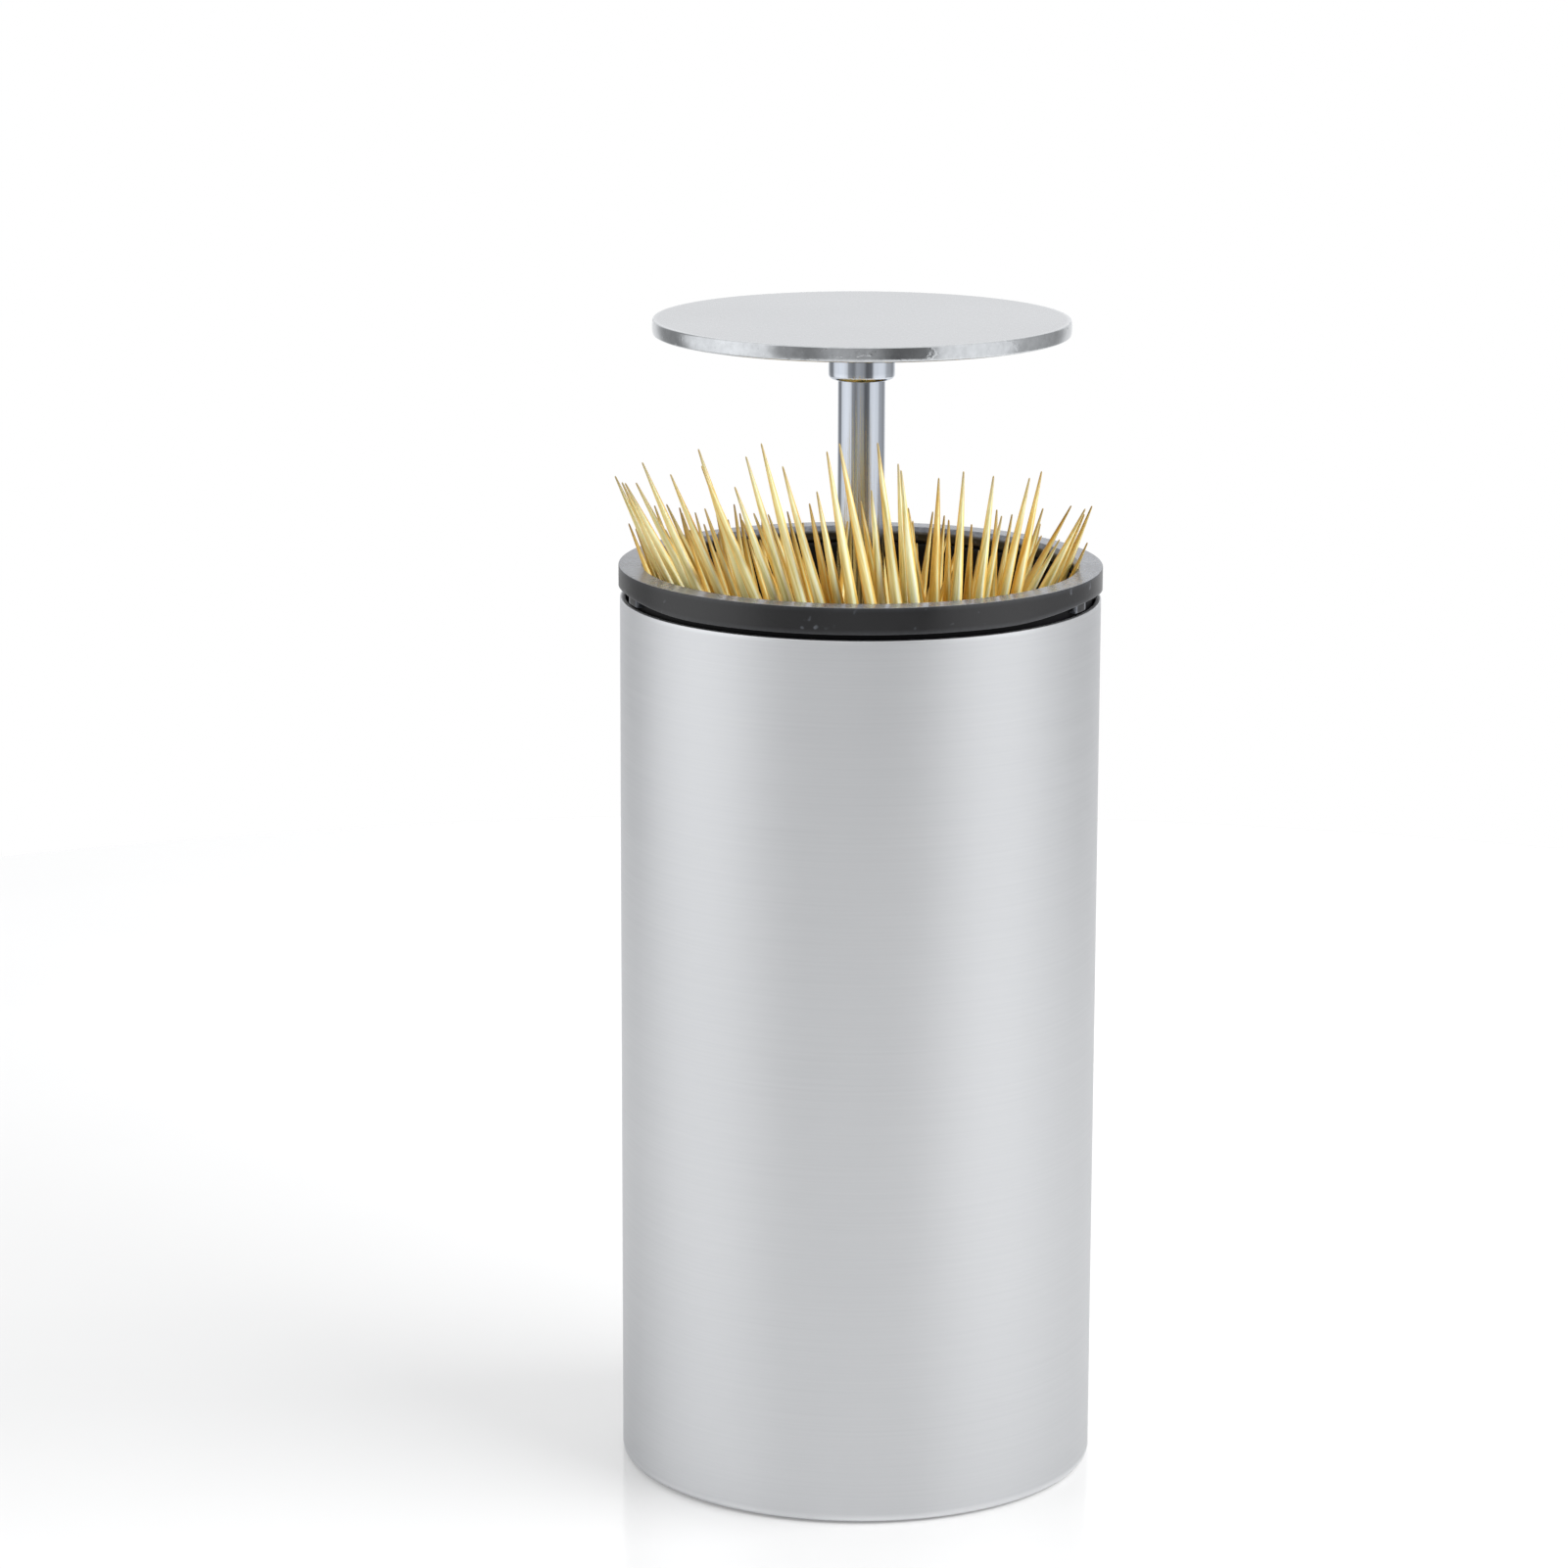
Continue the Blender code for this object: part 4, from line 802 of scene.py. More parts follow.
@dataclass
class OuterBody:
    """Steel sleeve, mouth ring, cup and pad."""

    radius: float = 25.0 * MM
    sleeve_wall: float = 0.6 * MM
    sleeve_foot: float = 0.2 * MM
    sleeve_lip: float = 2.1 * MM
    sleeve_top: float = 92.95 * MM
    clearance: float = 0.3 * MM
    ring_radius: float = 25.14 * MM
    ring_top: float = 96.30 * MM
    groove: float = 0.6 * MM
    mouth_radius: float = 22.3 * MM
    mouth_bevel: float = 0.45 * MM
    bevel_zone: float = 0.5 * MM
    level_slack: float = 0.01 * MM
    side_wear: float = 0.1
    lip: float = 1.5 * MM
    spigot_radius: float = 24.1 * MM
    spigot_wall: float = 0.9 * MM
    spigot_depth: float = 7.5 * MM
    spacer_width: float = 5.5
    spacer_inset: float = 0.2 * MM
    spacer_bearings: tuple[float, ...] = (200.0, 335.0, 86.5)
    arch_rise: float = 0.62 * MM
    arch_zone: float = 0.6 * MM
    arch_bearings: tuple[float, ...] = (195.0, 338.0, 86.5)
    arch_angle: float = 68.0
    cup_wall: float = 1.3 * MM
    cup_foot: float = 4.6 * MM
    wall_overlap: float = 0.2 * MM
    slot_top: float = 52.06 * MM
    slot_angle: float = 11.67
    guide_bearings: tuple[float, ...] = (30.0, 150.0, 270.0)
    boss_circle: float = 20.2 * MM
    boss_bearings: tuple[float, ...] = (90.0, 210.0, 330.0)
    boss_radius: float = 2.8 * MM
    boss_height: float = 10.5 * MM
    boss_roof: float = 1.0 * MM
    pilot_radius: float = 1.25 * MM
    pad_radius: float = 22.3 * MM
    pad_height: float = 0.9 * MM
    pad_rings: tuple[float, float, int] = (4.0 * MM, 20.0 * MM, 5)
    pad_groove: float = 0.5 * MM
    pad_groove_depth: float = 0.18 * MM
    pad_groove_round: float = 0.06 * MM
    steps: int = 192

    def sleeve(self) -> Skin:
        """The tube with its foot rolled in and its top edge dressed round."""
        bore, lip = self.radius - self.sleeve_wall, self.radius - self.sleeve_lip
        return turned(
            rounded_profile([
                (self.radius, self.sleeve_top, 0.14 * MM),
                (self.radius, self.sleeve_foot, 0.5 * MM),
                (lip, self.sleeve_foot, SOFT),
                (lip, self.sleeve_foot + self.sleeve_wall, SOFT),
                (bore, self.sleeve_foot + self.sleeve_wall, SHARP),
                (bore, self.sleeve_top, 0.14 * MM),
            ]),
            self.steps,
        )

    def mouth_ring(self) -> Skin:
        """Flange with a bevelled mouth, the spigot below it and the three spacers in the groove; full wear on
        its top face and mouth bevel paints a sheen and a highlight there.
        """
        under = self.sleeve_top + self.groove
        spigot_bore = self.spigot_radius - self.spigot_wall
        flange = rounded_profile([
            (self.ring_radius, self.ring_top, 0.09 * MM),
            (self.ring_radius, under, 0.12 * MM),
            (self.spigot_radius, under, SHARP),
            (self.spigot_radius, under - self.spigot_depth, SOFT),
            (spigot_bore, under - self.spigot_depth, SOFT),
            (spigot_bore, self.ring_top - self.lip, SHARP),
            (self.mouth_radius, self.ring_top - self.lip, EASED),
            (self.mouth_radius, self.ring_top - self.mouth_bevel, 0.08 * MM),
            (self.mouth_radius + self.mouth_bevel, self.ring_top, 0.08 * MM),
        ])
        out, height = flange.points.T
        # Full wear on the top face and mouth bevel, which the plastic paints pale: painted sheen on the top,
        # painted highlight on the bevel
        painted_sheen_top = height > self.ring_top - self.level_slack
        painted_highlight_bevel = (height > self.ring_top - self.bevel_zone) & (out < self.spigot_radius)
        flange = replace(flange, wear=np.where(painted_sheen_top | painted_highlight_bevel, 1.0, self.side_wear * flange.wear))
        ring = turned(flange, self.steps)
        hidden = (ring.points[ring.faces, 2].mean(axis=1) < under + self.level_slack / 2).astype(int)
        low, high = self.sleeve_top + self.clearance, under + self.arch_rise
        outer, inner = self.radius - self.clearance / 2, self.spigot_radius - self.spacer_inset
        block = rounded_profile([
            (outer, high, SHARP),
            (outer, low, 0.12 * MM),
            (inner, low, SHARP),
            (inner, high, SHARP),
        ])
        half = self.spacer_width / 2
        block = replace(block, wear=0.0 * block.wear)
        spacers = [arc_block(block, bearing - half, bearing + half, 6) for bearing in self.spacer_bearings]
        return joined([replace(ring, points=self.arched(ring.points, under), finish=hidden), *spacers])

    def arched(self, points: np.ndarray, under: float) -> np.ndarray:
        """Lift the underside of the flange into a shallow arch over each spacer.

        A point outside the spigot and less than the arch zone above the underside goes up by the rise times
        cos squared of its bearing from the middle of the arch, stretched to the arch's width.

        Args:
            points: Points of the turned ring.
            under: Height of the underside.

        Returns:
            The points with their new heights.
        """
        bearing = np.degrees(np.arctan2(points[:, 1], points[:, 0]))
        off = (bearing[:, None] - np.array(self.arch_bearings) + 180.0) % 360.0 - 180.0
        swell = np.cos(np.radians(np.clip(off / self.arch_angle, -0.5, 0.5) * 180.0)) ** 2
        low = (points[:, 2] > under - self.level_slack) & (points[:, 2] < under + self.arch_zone)
        flange = low & (np.hypot(points[:, 0], points[:, 1]) > self.spigot_radius - self.level_slack)
        lifted = points.copy()
        lifted[:, 2] += np.where(flange, self.arch_rise * swell.max(axis=1), 0.0)
        return lifted

    def cup(self) -> Skin:
        """Liner: a whole tube above, three walls between the guide slots below, and the screw bosses."""
        neck = self.spigot_radius - self.spigot_wall - self.clearance
        rim = self.ring_top - self.lip - self.clearance
        step = self.sleeve_top + self.groove - self.spigot_depth - self.clearance
        outer, wall_top = self.mouth_radius + self.cup_wall, self.slot_top + self.wall_overlap
        tube = rounded_profile([
            (neck, rim, CRISP),
            (neck, step, SHARP),
            (outer, step, CRISP),
            (outer, self.slot_top, SHARP),
            (self.mouth_radius, self.slot_top, SHARP),
            (self.mouth_radius, rim, CRISP),
        ])
        wall = rounded_profile([
            (outer, wall_top, SHARP),
            (outer, self.cup_foot, CRISP),
            (self.mouth_radius, self.cup_foot, CRISP),
            (self.mouth_radius, wall_top, SHARP),
        ])
        half = self.slot_angle / 2
        following = [*self.guide_bearings[1:], self.guide_bearings[0] + 360.0]
        spans = zip(self.guide_bearings, following)
        walls = [arc_block(wall, here + half, after - half, 48) for here, after in spans]
        boss_top = self.cup_foot + self.boss_height
        pilot_top = boss_top - self.boss_roof
        boss = turned(
            rounded_profile([
                (0.0, boss_top, 0.0),
                (self.boss_radius, boss_top, SOFT),
                (self.boss_radius, self.cup_foot, CRISP),
                (self.pilot_radius, self.cup_foot, CRISP),
                (self.pilot_radius, pilot_top, SHARP),
                (0.0, pilot_top, 0.0),
            ]),
            32,
        )
        middles = [(np.cos(bearing), np.sin(bearing)) for bearing in np.radians(self.boss_bearings)]
        bosses = [shifted(boss, self.boss_circle * x, self.boss_circle * y) for x, y in middles]
        return joined([turned(tube, self.steps), *walls, *bosses])

    def pad(self) -> Skin:
        """Round pad with shallow rings pressed into its underside."""
        first, last, count = self.pad_rings
        corners = ((1, 0.0), (0.5, self.pad_groove_depth), (-0.5, self.pad_groove_depth), (-1, 0.0))
        under = [
            (ring + share * self.pad_groove, depth, self.pad_groove_round)
            for ring in np.linspace(last, first, count)
            for share, depth in corners
        ]
        outline = [
            (0.0, self.pad_height, 0.0),
            (self.pad_radius, self.pad_height, SOFT),
            (self.pad_radius, 0.0, SOFT),
            *under,
            (0.0, 0.0, 0.0),
        ]
        return turned(rounded_profile(outline), 128)

    def build(self) -> None:
        """Make and dress the four pieces."""
        casing = Body.CASING.value
        sleeve = piece_of("satin_sleeve", self.sleeve(), [SLEEVE_STEEL])
        settle(sleeve, casing, Slot.BRUSHED_STEEL, "casing_sleeve")
        ring = piece_of("mouth_ring", self.mouth_ring(), [RING_PLASTIC, LINER_PLASTIC])
        settle(ring, casing, Slot.BLACK_PLASTIC, "top_ring")
        settle(piece_of("cup_liner", self.cup(), [LINER_PLASTIC]), casing, Slot.LINER_PLASTIC, "inner_cup")
        settle(piece_of("ribbed_pad", self.pad(), [RUBBER]), casing, Slot.FOOT_RUBBER, "foot_pad")


@dataclass
class LidAndDish:
    """Lid disc, collar, rod and the dish that the toothpicks stand in."""

    lid_radius: float = 21.65 * MM
    lid_under: float = 120.31 * MM
    lid_top: float = 121.87 * MM
    lid_edge: float = 0.18 * MM
    lid_barrel: float = 0.11 * MM
    lid_barrel_round: float = 3.0 * MM
    lid_edge_zone: float = 0.216 * MM
    clearance: float = 0.3 * MM
    spigot_radius: float = 1.5 * MM
    spigot_length: float = 0.9 * MM
    rod_radius: float = 2.45 * MM
    collar_radius: float = 3.44 * MM
    collar_height: float = 4.4 * MM
    collar_round: float = 0.5 * MM
    stem_radius: float = 1.7 * MM
    pivot_radius: float = 1.35 * MM
    rod_shoulder: float = 51.96 * MM
    pivot_shoulder: float = 40.73 * MM
    clip_top: float = 35.83 * MM
    clip_thickness: float = 0.6 * MM
    clip_groove: float = 0.5 * MM
    pivot_tail: float = 1.0 * MM
    dish_radius: float = 21.9 * MM
    dish_under: float = 46.76 * MM
    dish_top: float = 48.76 * MM
    dish_rim_wall: float = 1.0 * MM
    dish_rim_height: float = 3.0 * MM
    hub_radius: float = 5.2 * MM
    hub_crown: float = 4.2 * MM
    hub_top: float = 50.76 * MM
    hub_under: float = 45.26 * MM
    nut_pocket: float = 3.9 * MM
    nut_ceiling: float = 47.96 * MM
    spring_guide_bore: float = 12.0 * MM
    spring_guide_wall: float = 1.2 * MM
    spring_guide_depth: float = 2.5 * MM
    lug_angle: float = 9.72
    lug_reach: float = 1.4 * MM
    lug_root: float = 0.3 * MM
    lug_inset: float = 0.4 * MM
    lug_bearings: tuple[float, ...] = (30.0, 150.0, 270.0)
    steps: int = 192

    def lid(self) -> Skin:
        """Lid with a blind hole below; the faces of its edge take the second finish."""
        hole, hole_top = self.spigot_radius + self.clearance, self.lid_under + self.spigot_length
        skin = turned(
            rounded_profile([
                (0.0, self.lid_top, 0.0),
                (self.lid_radius - self.lid_barrel, self.lid_top, self.lid_edge),
                (self.lid_radius, (self.lid_top + self.lid_under) / 2, self.lid_barrel_round),
                (self.lid_radius - self.lid_barrel, self.lid_under, self.lid_edge),
                (hole, self.lid_under, SHARP),
                (hole, hole_top, SHARP),
                (0.0, hole_top, 0.0),
            ]),
            self.steps,
        )
        out = np.hypot(skin.points[:, 0], skin.points[:, 1])
        edge = out[skin.faces].min(axis=1) > self.lid_radius - self.lid_barrel - self.lid_edge_zone
        return replace(skin, finish=edge.astype(np.int32))

    def collar(self) -> Skin:
        """Short collar with a rounded foot."""
        top, bore = self.lid_under - self.clearance, self.rod_radius + self.clearance
        return turned(
            rounded_profile([
                (self.collar_radius, top, 0.08 * MM),
                (self.collar_radius, top - self.collar_height, self.collar_round),
                (bore, top - self.collar_height, 0.08 * MM),
                (bore, top, 0.08 * MM),
            ]),
            96,
        )

    def rod(self) -> Skin:
        """Rod stepped for the nut, the catch and its clip, with small chamfers on its shoulders."""
        top = self.lid_under - self.clearance
        groove = self.pivot_radius - self.clip_groove
        groove_top = self.clip_top + self.clearance / 2
        groove_bottom = self.clip_top - self.clip_thickness - self.clearance / 2
        return turned(
            rounded_profile([
                (0.0, top + self.spigot_length, 0.0),
                (self.spigot_radius, top + self.spigot_length, CRISP),
                (self.spigot_radius, top, SHARP),
                (self.rod_radius, top, SHARP),
                (self.rod_radius, self.rod_shoulder, SOFT),
                (self.stem_radius, self.rod_shoulder, SHARP),
                (self.stem_radius, self.pivot_shoulder, CRISP),
                (self.pivot_radius, self.pivot_shoulder, SHARP),
                (self.pivot_radius, groove_top, SHARP),
                (groove, groove_top, SHARP),
                (groove, groove_bottom, SHARP),
                (self.pivot_radius, groove_bottom, SHARP),
                (self.pivot_radius, groove_bottom - self.pivot_tail, SOFT),
                (0.0, groove_bottom - self.pivot_tail, 0.0),
            ]),
            64,
        )

    def dish(self) -> Skin:
        """Dish with its hub, spring guide and three lugs that run in the cup's slots."""
        rim_top, rim_bore = self.dish_top + self.dish_rim_height, self.dish_radius - self.dish_rim_wall
        guide_outer = self.spring_guide_bore + self.spring_guide_wall
        guide_under = self.dish_under - self.spring_guide_depth
        stem_bore = self.stem_radius + self.clearance
        body = rounded_profile([
            (self.dish_radius, rim_top, 0.4 * MM),
            (self.dish_radius, self.dish_under, EASED),
            (guide_outer, self.dish_under, CRISP),
            (guide_outer, guide_under, EASED),
            (self.spring_guide_bore, guide_under, EASED),
            (self.spring_guide_bore, self.dish_under, CRISP),
            (self.hub_radius, self.dish_under, CRISP),
            (self.hub_radius, self.hub_under, EASED),
            (self.nut_pocket, self.hub_under, CRISP),
            (self.nut_pocket, self.nut_ceiling, CRISP),
            (stem_bore, self.nut_ceiling, SHARP),
            (stem_bore, self.hub_top, SHARP),
            (self.hub_crown, self.hub_top, 0.4 * MM),
            (self.hub_crown, self.dish_top, 0.4 * MM),
            (rim_bore, self.dish_top, 0.3 * MM),
            (rim_bore, rim_top, SOFT),
        ])
        outer, inner = self.dish_radius + self.lug_reach, self.dish_radius - self.lug_root
        high, low = rim_top - self.lug_inset, self.dish_under + self.lug_inset
        lug = rounded_profile([
            (outer, high, EASED),
            (outer, low, EASED),
            (inner, low, SHARP),
            (inner, high, SHARP),
        ])
        half = self.lug_angle / 2
        lugs = [arc_block(lug, bearing - half, bearing + half, 8) for bearing in self.lug_bearings]
        return joined([turned(body, self.steps), *lugs])

    def build(self) -> None:
        """Make and dress the four pieces."""
        lid = Body.LID.value
        settle(piece_of("satin_lid", self.lid(), [LID_STEEL, LID_EDGE]), lid, Slot.BRUSHED_STEEL, "lid_disc")
        settle(piece_of("lid_collar", self.collar(), [ROD_STEEL]), lid, Slot.POLISHED_STEEL, "rod_collar")
        settle(piece_of("polished_rod", self.rod(), [ROD_STEEL]), lid, Slot.POLISHED_STEEL, "lifting_rod")
        dish = piece_of("pick_dish", self.dish(), [LINER_PLASTIC])
        settle(dish, lid, Slot.LINER_PLASTIC, "toothpick_carrier")


@dataclass
class LiftSpring:
    """Compression spring under the dish."""

    wire_radius: float = 0.4 * MM
    mean_radius: float = 11.0 * MM
    lowest: float = 6.1 * MM
    highest: float = 46.06 * MM
    turns: int = 12
    end_turns: int = 1
    end_pitch: float = 1.35 * MM
    travel: float = 27.6 * MM
    points_per_turn: int = 36

    def wire(self) -> Skin:
        """Wire on a helix: height climbs slowly over the end turns and evenly between them."""
        turn = np.linspace(0, self.turns, self.turns * self.points_per_turn + 1)
        knots = (0, self.end_turns, self.turns - self.end_turns, self.turns)
        levels = (
            self.lowest,
            self.lowest + self.end_turns * self.end_pitch,
            self.highest - self.end_turns * self.end_pitch,
            self.highest,
        )
        angle = turn * FULL_TURN
        height = np.interp(turn, knots, levels)
        path = np.column_stack([self.mean_radius * np.cos(angle), self.mean_radius * np.sin(angle), height])
        radii = np.full((len(path), 1), self.wire_radius)
        return rod_along(path, radii, np.array([0.0, 0.0, 1.0]), 10)

    def build(self) -> None:
        """Make, dress and seat the spring."""
        spring = piece_of("wound_spring", self.wire(), [WIRE])
        settle(spring, Body.CASING.value, Slot.SPRING_WIRE, "lift_spring")
        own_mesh(spring)


def tapered(
    along: np.ndarray, length: np.ndarray | float, thick: float, point: float, taper: float
) -> np.ndarray:
    """Radius along a toothpick, which eases from the points at both ends to its full thickness.

    It is point + (thick - point) (1 - (1 - s) ** TAPER_EASE), where s is the distance from the nearer end as
    a share of the taper.

    Args:
        along: Distances from the foot.
        length: Length of each toothpick.
        thick: Full radius.
        point: Radius at the ends.
        taper: Length over which it eases.

    Returns:
        The radius at each distance.
    """
    share = np.clip(np.minimum(along, length - along) / taper, 0, 1)
    return point + (thick - point) * (1 - (1 - share) ** TAPER_EASE)


@dataclass
class ShortPlaces:
    """Places, in millimetres, for toothpicks that have sunk between the others, found by trial.

    Places are drawn at random in the fan, and those that stay clear of every standing toothpick at all
    heights of the lid are kept. One after another, the place is then used that covers most of what still
    shows dark between the toothpicks from the front. Ends of n toothpicks are (2, n, 3), lower ends first.

    Attributes:
        standing: Ends of the standing toothpicks.
        axes: Axis about which each of them folds.
        folds: Angle to which each has folded when the lid is down.
        thick: Full radius of a toothpick.
        point: Radius of its points.
        taper: Length over which it thins to a point.
        foot_play: How far a foot may be below and above the dish's floor while the lid goes down.
        tip_depths: How far behind the upright plane through the axis a tip is, at least and at most.
        lean_share: How far up a toothpick its lean is measured from, as a share of it.
        near_share: How far up the distance between two toothpicks is measured, as a share of them.
        foot_weight: How much the distance between their feet counts beside that.
        nearest: How many of the toothpicks that stand near are tried as carriers.
        grid_heights: Start, end and step of the rows of the grid that is to be covered.
        grid_across: Start, end and step of its columns.
        core: Radii round the axis that stay free, from the hub up to the rod.
        core_tops: Heights, with the lid raised, at which each of them gives way to the next.
        walls: Radii of the dish's rim and of the mouth, which hold the toothpicks in.
        wall_tops: Top of the rim, with the lid raised, and top of the mouth.
    """

    standing: np.ndarray
    axes: np.ndarray
    folds: np.ndarray
    thick: float
    point: float
    taper: float
    tries: int = 60_000
    seed: int = 5
    levels: int = 7
    stations: int = 24
    travel: float = 27.6
    least_gap: float = 0.03
    dish_floor: float = 49.06
    foot_play: tuple[float, float] = (-0.15, 1.2)
    foot_ring: tuple[float, float] = (5.6, 19.8)
    lengths: tuple[float, float] = (36.0, 65.0)
    tip_heights: tuple[float, float] = (94.0, 102.5)
    tip_depths: tuple[float, float] = (-6.0, 21.0)
    tip_reach: float = 24.5
    fan_centre: float = 64.0
    lean_slack: float = 14.0
    lean_share: float = 0.6
    near_share: float = 0.7
    foot_weight: float = 0.7
    nearest: int = 6
    eye: tuple[float, float, float] = (0.0, -542.0, 194.9)
    grid_heights: tuple[float, float, float] = (88.0, 101.0, 0.75)
    grid_across: tuple[float, float, float] = (-22.0, 22.0, 0.25)
    core: tuple[float, float, float] = (4.65, 3.75, 2.45)
    core_tops: tuple[float, float] = (50.7, 51.9)
    walls: tuple[float, float] = (20.7, 22.25)
    wall_tops: tuple[float, float] = (51.8, 96.4)

    def radius_at(self, along: np.ndarray, length: np.ndarray) -> np.ndarray:
        """Radius at distances along toothpicks of these lengths."""
        return tapered(along, length, self.thick, self.point, self.taper)

    def carried(self, spots: np.ndarray, carrier: int, drop: float) -> np.ndarray:
        """Where spots that ride on a toothpick's body are once the lid has dropped.

        They turn about the toothpick's foot in proportion to the drop and sink with the lid.

        Args:
            spots: (..., 3) points at rest.
            carrier: Index of the toothpick, or -1 for the lid itself.
            drop: How far the lid has come down.

        Returns:
            The moved points.
        """
        down = np.array([0.0, 0.0, drop])
        if carrier < 0:
            return spots - down
        foot, axis = self.standing[0, carrier], self.axes[carrier]
        angle = self.folds[carrier] * drop / self.travel
        arm = spots - foot
        along = (arm @ axis)[..., None] * axis
        return foot - down + along + (arm - along) * math.cos(angle) + np.cross(axis, arm) * math.sin(angle)

    def passing(self, ends: np.ndarray, others: np.ndarray) -> np.ndarray:
        """Gap between toothpicks where their axes pass nearest, as for two straight rods.

        Args:
            ends: Ends of n toothpicks.
            others: Ends of m others.

        Returns:
            (n,) gaps from each to the nearest other.
        """
        feet, base = ends[0], others[0]
        way, other = ends[1] - feet, others[1] - base
        own_square, other_square = (way * way).sum(1)[:, None], (other * other).sum(1)[None]
        both = way @ other.T
        own_lag = (feet * way).sum(1)[:, None] - way @ base.T
        other_lag = feet @ other.T - (base * other).sum(1)[None]
        own = (both * other_lag - own_lag * other_square) / (own_square * other_square - both**2 + NEVER_ZERO)
        far = np.clip((both * np.clip(own, 0, 1) + other_lag) / other_square, 0, 1)
        own = np.clip((both * far - own_lag) / own_square, 0, 1)
        square = (feet * feet).sum(1)[:, None] + (base * base).sum(1)[None] - 2 * feet @ base.T
        square = square + own**2 * own_square + far**2 * other_square
        square = square + 2 * (own * own_lag - far * other_lag - own * far * both)
        length, other_length = np.sqrt(own_square), np.sqrt(other_square)
        thick = self.radius_at(own * length, length) + self.radius_at(far * other_length, other_length)
        return (np.sqrt(np.maximum(square, 0)) - thick).min(axis=1)

    def gap(self, ends: np.ndarray, others: np.ndarray) -> np.ndarray:
        """Least gap between each toothpick and a set of others, tried at stations along it as well.

        Args:
            ends: Ends of n toothpicks.
            others: Ends of m others.

        Returns:
            (n,) gaps from each to the nearest other.
        """
        (feet, tips), base, other = ends, others[0], others[1] - others[0]
        other_length = np.linalg.norm(other, axis=1)
        other_way = other / other_length[:, None]
        length = np.linalg.norm(tips - feet, axis=1)[:, None]
        least = self.passing(ends, others)
        for share in np.linspace(0, 1, self.stations):
            spot = feet + share * (tips - feet)
            reach = spot @ other_way.T - (base * other_way).sum(1)
            along = np.clip(reach, 0, other_length)
            square = (spot * spot).sum(1)[:, None] + (base * base).sum(1) - 2 * spot @ base.T
            off = np.sqrt(np.maximum(square - 2 * along * reach + along**2, 0))
            thick = self.radius_at(share * length, length) + self.radius_at(along, other_length)
            least = np.minimum(least, (off - thick).min(axis=1))
        return least

    def room(self, ends: np.ndarray, drop: float) -> np.ndarray:
        """Gap to the rod, the hub, the dish's rim and the mouth, or -1 for a foot off the dish's floor.

        Args:
            ends: Ends of n toothpicks.
            drop: How far the lid has come down.

        Returns:
            (n,) gaps.
        """
        feet, tips = ends
        share = np.linspace(0, 1, self.stations)[None]
        length = np.linalg.norm(tips - feet, axis=1)[:, None]
        spots = feet[:, None] + (tips - feet)[:, None] * share[:, :, None]
        out, height = np.hypot(spots[..., 0], spots[..., 1]), spots[..., 2]
        thick = self.radius_at(share * length, length)
        upright = (tips - feet)[:, 2:] / length
        level = height + drop
        core = np.array(self.core)[np.searchsorted(self.core_tops, level)]
        above = np.where(height < self.wall_tops[1], self.walls[1], np.inf)
        wall = np.where(level < self.wall_tops[0], self.walls[0], above)
        gaps = np.minimum(out - thick - core, wall - out - thick / upright).min(axis=1)
        rise = feet[:, 2] + drop - self.dish_floor
        return np.where((rise > self.foot_play[0]) & (rise < self.foot_play[1]), gaps, -1.0)

    def seen(self, spots: np.ndarray) -> np.ndarray:
        """Where (n, 3) spots appear on the upright plane through the axis, seen from the front."""
        eye = np.array(self.eye)
        return eye + (spots - eye) * (-eye[1] / (spots[:, 1:2] - eye[1]))

    def drawn(self) -> np.ndarray:
        """Draw feet on the dish and tips just over the rim, and keep those that lean as the fan does there.

        Returns:
            Ends of the places.
        """
        chance = np.random.default_rng(self.seed)
        bearing = chance.uniform(0, FULL_TURN, self.tries)
        out = np.sqrt(chance.uniform(self.foot_ring[0] ** 2, self.foot_ring[1] ** 2, self.tries))
        floor = np.full(self.tries, self.dish_floor)
        feet = np.column_stack([out * np.cos(bearing), out * np.sin(bearing), floor])
        face = np.zeros((self.tries, 3))
        face[:, 0] = chance.uniform(-self.tip_reach, self.tip_reach, self.tries)
        face[:, 2] = chance.uniform(*self.tip_heights, self.tries)
        eye = np.array(self.eye)
        depth = chance.uniform(*self.tip_depths, self.tries)
        tips = eye + (face - eye) * ((depth - eye[1]) / -eye[1])[:, None]
        low = self.seen(feet + self.lean_share * (tips - feet))
        lean = np.arctan2(face[:, 0] - low[:, 0], face[:, 2] - low[:, 2])
        wanted = np.arctan2(face[:, 0], face[:, 2] - self.fan_centre)
        length = np.linalg.norm(tips - feet, axis=1)
        fits = (np.abs(lean - wanted) < math.radians(self.lean_slack)) & (length > self.lengths[0])
        fits &= (length < self.lengths[1]) & (np.hypot(tips[:, 0], tips[:, 1]) < self.tip_reach)
        return np.stack([feet[fits], tips[fits]])

    def cover(self, ends: np.ndarray) -> np.ndarray:
        """Which cells of a fine upright grid over the rim each toothpick hides from the front.

        Args:
            ends: Ends of n toothpicks.

        Returns:
            (n, cells) ones and zeros.
        """
        low, high = self.seen(ends[0]), self.seen(ends[1])
        share = (np.arange(*self.grid_heights) - low[:, 2:]) / (high[:, 2:] - low[:, 2:])
        middle = low[:, :1] + share * (high[:, :1] - low[:, :1])
        length = np.linalg.norm(ends[1] - ends[0], axis=1)[:, None]
        half = np.where(share < 1, self.radius_at(share * length, length), 0)
        cells = np.abs(np.arange(*self.grid_across) - middle[:, :, None]) < half[:, :, None]
        return cells.reshape(len(low), -1).astype(np.float32)

